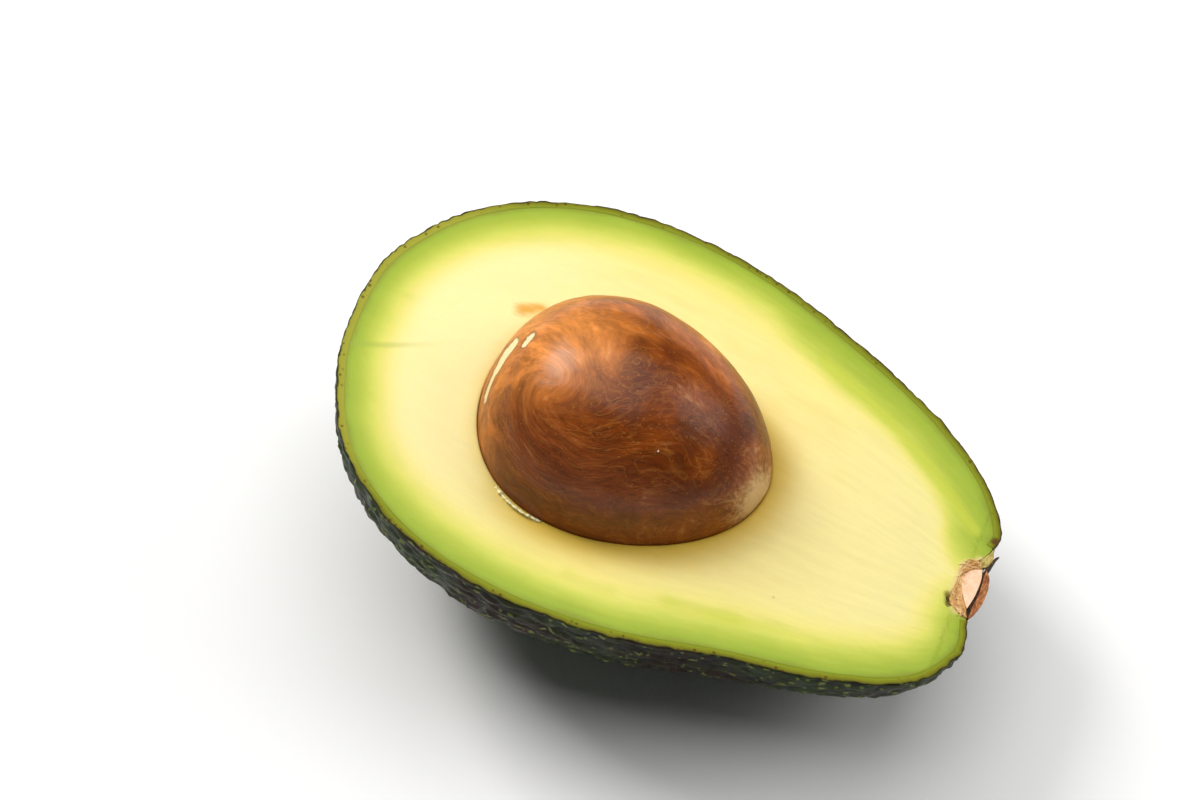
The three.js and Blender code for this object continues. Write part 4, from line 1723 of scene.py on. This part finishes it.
@dataclass(frozen=True)
class Studio:
    """A pale floor, soft light from the blossom side, and the camera."""

    floor_size: float = 6.0
    floor_colour: str = "#fafaf9"
    sky: float = 0.06
    softboxes: tuple[Softbox, ...] = (
        Softbox("key_light", (-0.66, 0.20, 0.72), 0.9, 0.36, 5.6, (1.0, 0.985, 0.96)),
        Softbox("top_light", (-0.02, 0.22, 0.97), 1.1, 1.1, 8.7),
        Softbox("fill_light", (0.75, 0.40, 0.53), 1.0, 0.6, 3.2),
    )
    camera_aim: tuple[float, float, float] = (-5.07, 4.50, -1.32)
    camera_distance: float = 380.7
    camera_heading: float = math.radians(111.85)
    camera_down: float = math.radians(57.4)
    camera_roll: float = math.radians(0.66)
    lens: float = 75.0
    sensor: float = 36.0

    def floor(self) -> None:
        """Adds the floor, a plain pale sheet."""
        half = self.floor_size / 2
        mesh = bpy.data.meshes.new("floor")
        corners = [(-half, -half, 0), (half, -half, 0), (half, half, 0), (-half, half, 0)]
        mesh.from_pydata(corners, [], [(0, 1, 2, 3)])
        floor = bpy.data.objects.new("floor", mesh)
        bpy.context.scene.collection.objects.link(floor)
        material, graph = new_material("floor_paper")
        colour = paint(self.floor_colour)
        paper = {"Base Color": colour, "Roughness": 0.9, "Specular IOR Level": 0.1}
        surface = graph.add("BsdfPrincipled", paper)
        output = graph.add("OutputMaterial")
        graph.tree.links.new(surface.outputs["BSDF"], output.inputs["Surface"])
        mesh.materials.append(material)

    def world(self) -> None:
        """Adds an even pale sky."""
        world = bpy.data.worlds.new("sky")
        world.use_nodes = True
        background = world.node_tree.nodes["Background"]
        background.inputs["Color"].default_value = (1.0, 1.0, 1.0, 1.0)
        background.inputs["Strength"].default_value = self.sky
        bpy.context.scene.world = world
        bpy.context.scene.view_settings.view_transform = "Standard"

    def camera(self, target: Vector) -> None:
        """Adds the camera, turned towards a target, and makes it the scene's."""
        level = math.cos(self.camera_down)
        ahead = Vector(
            (
                level * math.cos(self.camera_heading),
                level * math.sin(self.camera_heading),
                -math.sin(self.camera_down),
            )
        )
        lens = bpy.data.cameras.new("camera")
        lens.sensor_width, lens.lens = self.sensor, self.lens
        lens.clip_start, lens.clip_end = 0.01, 20.0
        camera = bpy.data.objects.new("camera", lens)
        upright = (-ahead).to_track_quat("Z", "Y").to_matrix()
        camera.rotation_euler = (upright @ Matrix.Rotation(self.camera_roll, 3, "Z")).to_euler()
        camera.location = target - ahead * self.camera_distance * MM
        bpy.context.scene.collection.objects.link(camera)
        bpy.context.scene.camera = camera

    def build(self, lean: Lean) -> None:
        """Adds everything, for a fruit that lies where `lean` says."""
        target = Vector(lean.to_part(np.array(self.camera_aim))) * MM
        self.floor()
        self.world()
        for softbox in self.softboxes:
            softbox.build(target)
        self.camera(target)


# ------------------------------------------------------------------ putting it together


def place(piece: bpy.types.Object, slot: str, *nodes: str) -> None:
    """Fixes a piece to the part.

    Args:
        piece: The piece.
        slot: The name of the material slot that it stands for, which is only logged.
        nodes: The CAD nodes that it stands for.
    """
    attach(piece, BODY)
    if nodes:
        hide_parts(*nodes)
    points = len(piece.data.vertices)
    LOG.info("%s: %d points, slot %s, stands for %s", piece.name, points, slot, nodes or "nothing")


def main() -> None:
    """Builds the avocado half and the studio round it."""
    logging.basicConfig(level=logging.INFO, format="%(name)s %(message)s")
    form, stone = OuterForm(), StoneForm()
    lean = form.lean_from(*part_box("peel"))
    LOG.info("the fruit's frame lies at %s mm", np.round(lean.offset, 2))
    layout = Layout(form, stone, lean, Probe(form.grid(), stone.centre))
    effects = Effects()
    Studio().build(lean)
    place(Peel().build(layout, effects), "peel", "peel")
    place(Flesh().build(layout, effects), "flesh", "flesh")
    place(Stone().build(layout, effects), "stone", "stone")
    place(CoatFlake().build(layout, effects), "seed_coat", "stone_coat_flake")
    stalk = Stalk().build(layout, effects)
    place(stalk["stalk_pith"], "stalk_pith", "stalk_core")
    place(stalk["stalk_bark_cap"], "stalk_bark", "stalk_bark")
    place(stalk["stalk_scale_tip"], "stalk_scale", "stalk_scale")
    place(stalk["stalk_collar"], "stalk_pith")
    place(stalk["stalk_shaded_underside"], "stalk_bark")
    place(stalk["stalk_fibres"], "stalk_pith")


if __name__ == "__main__":
    main()
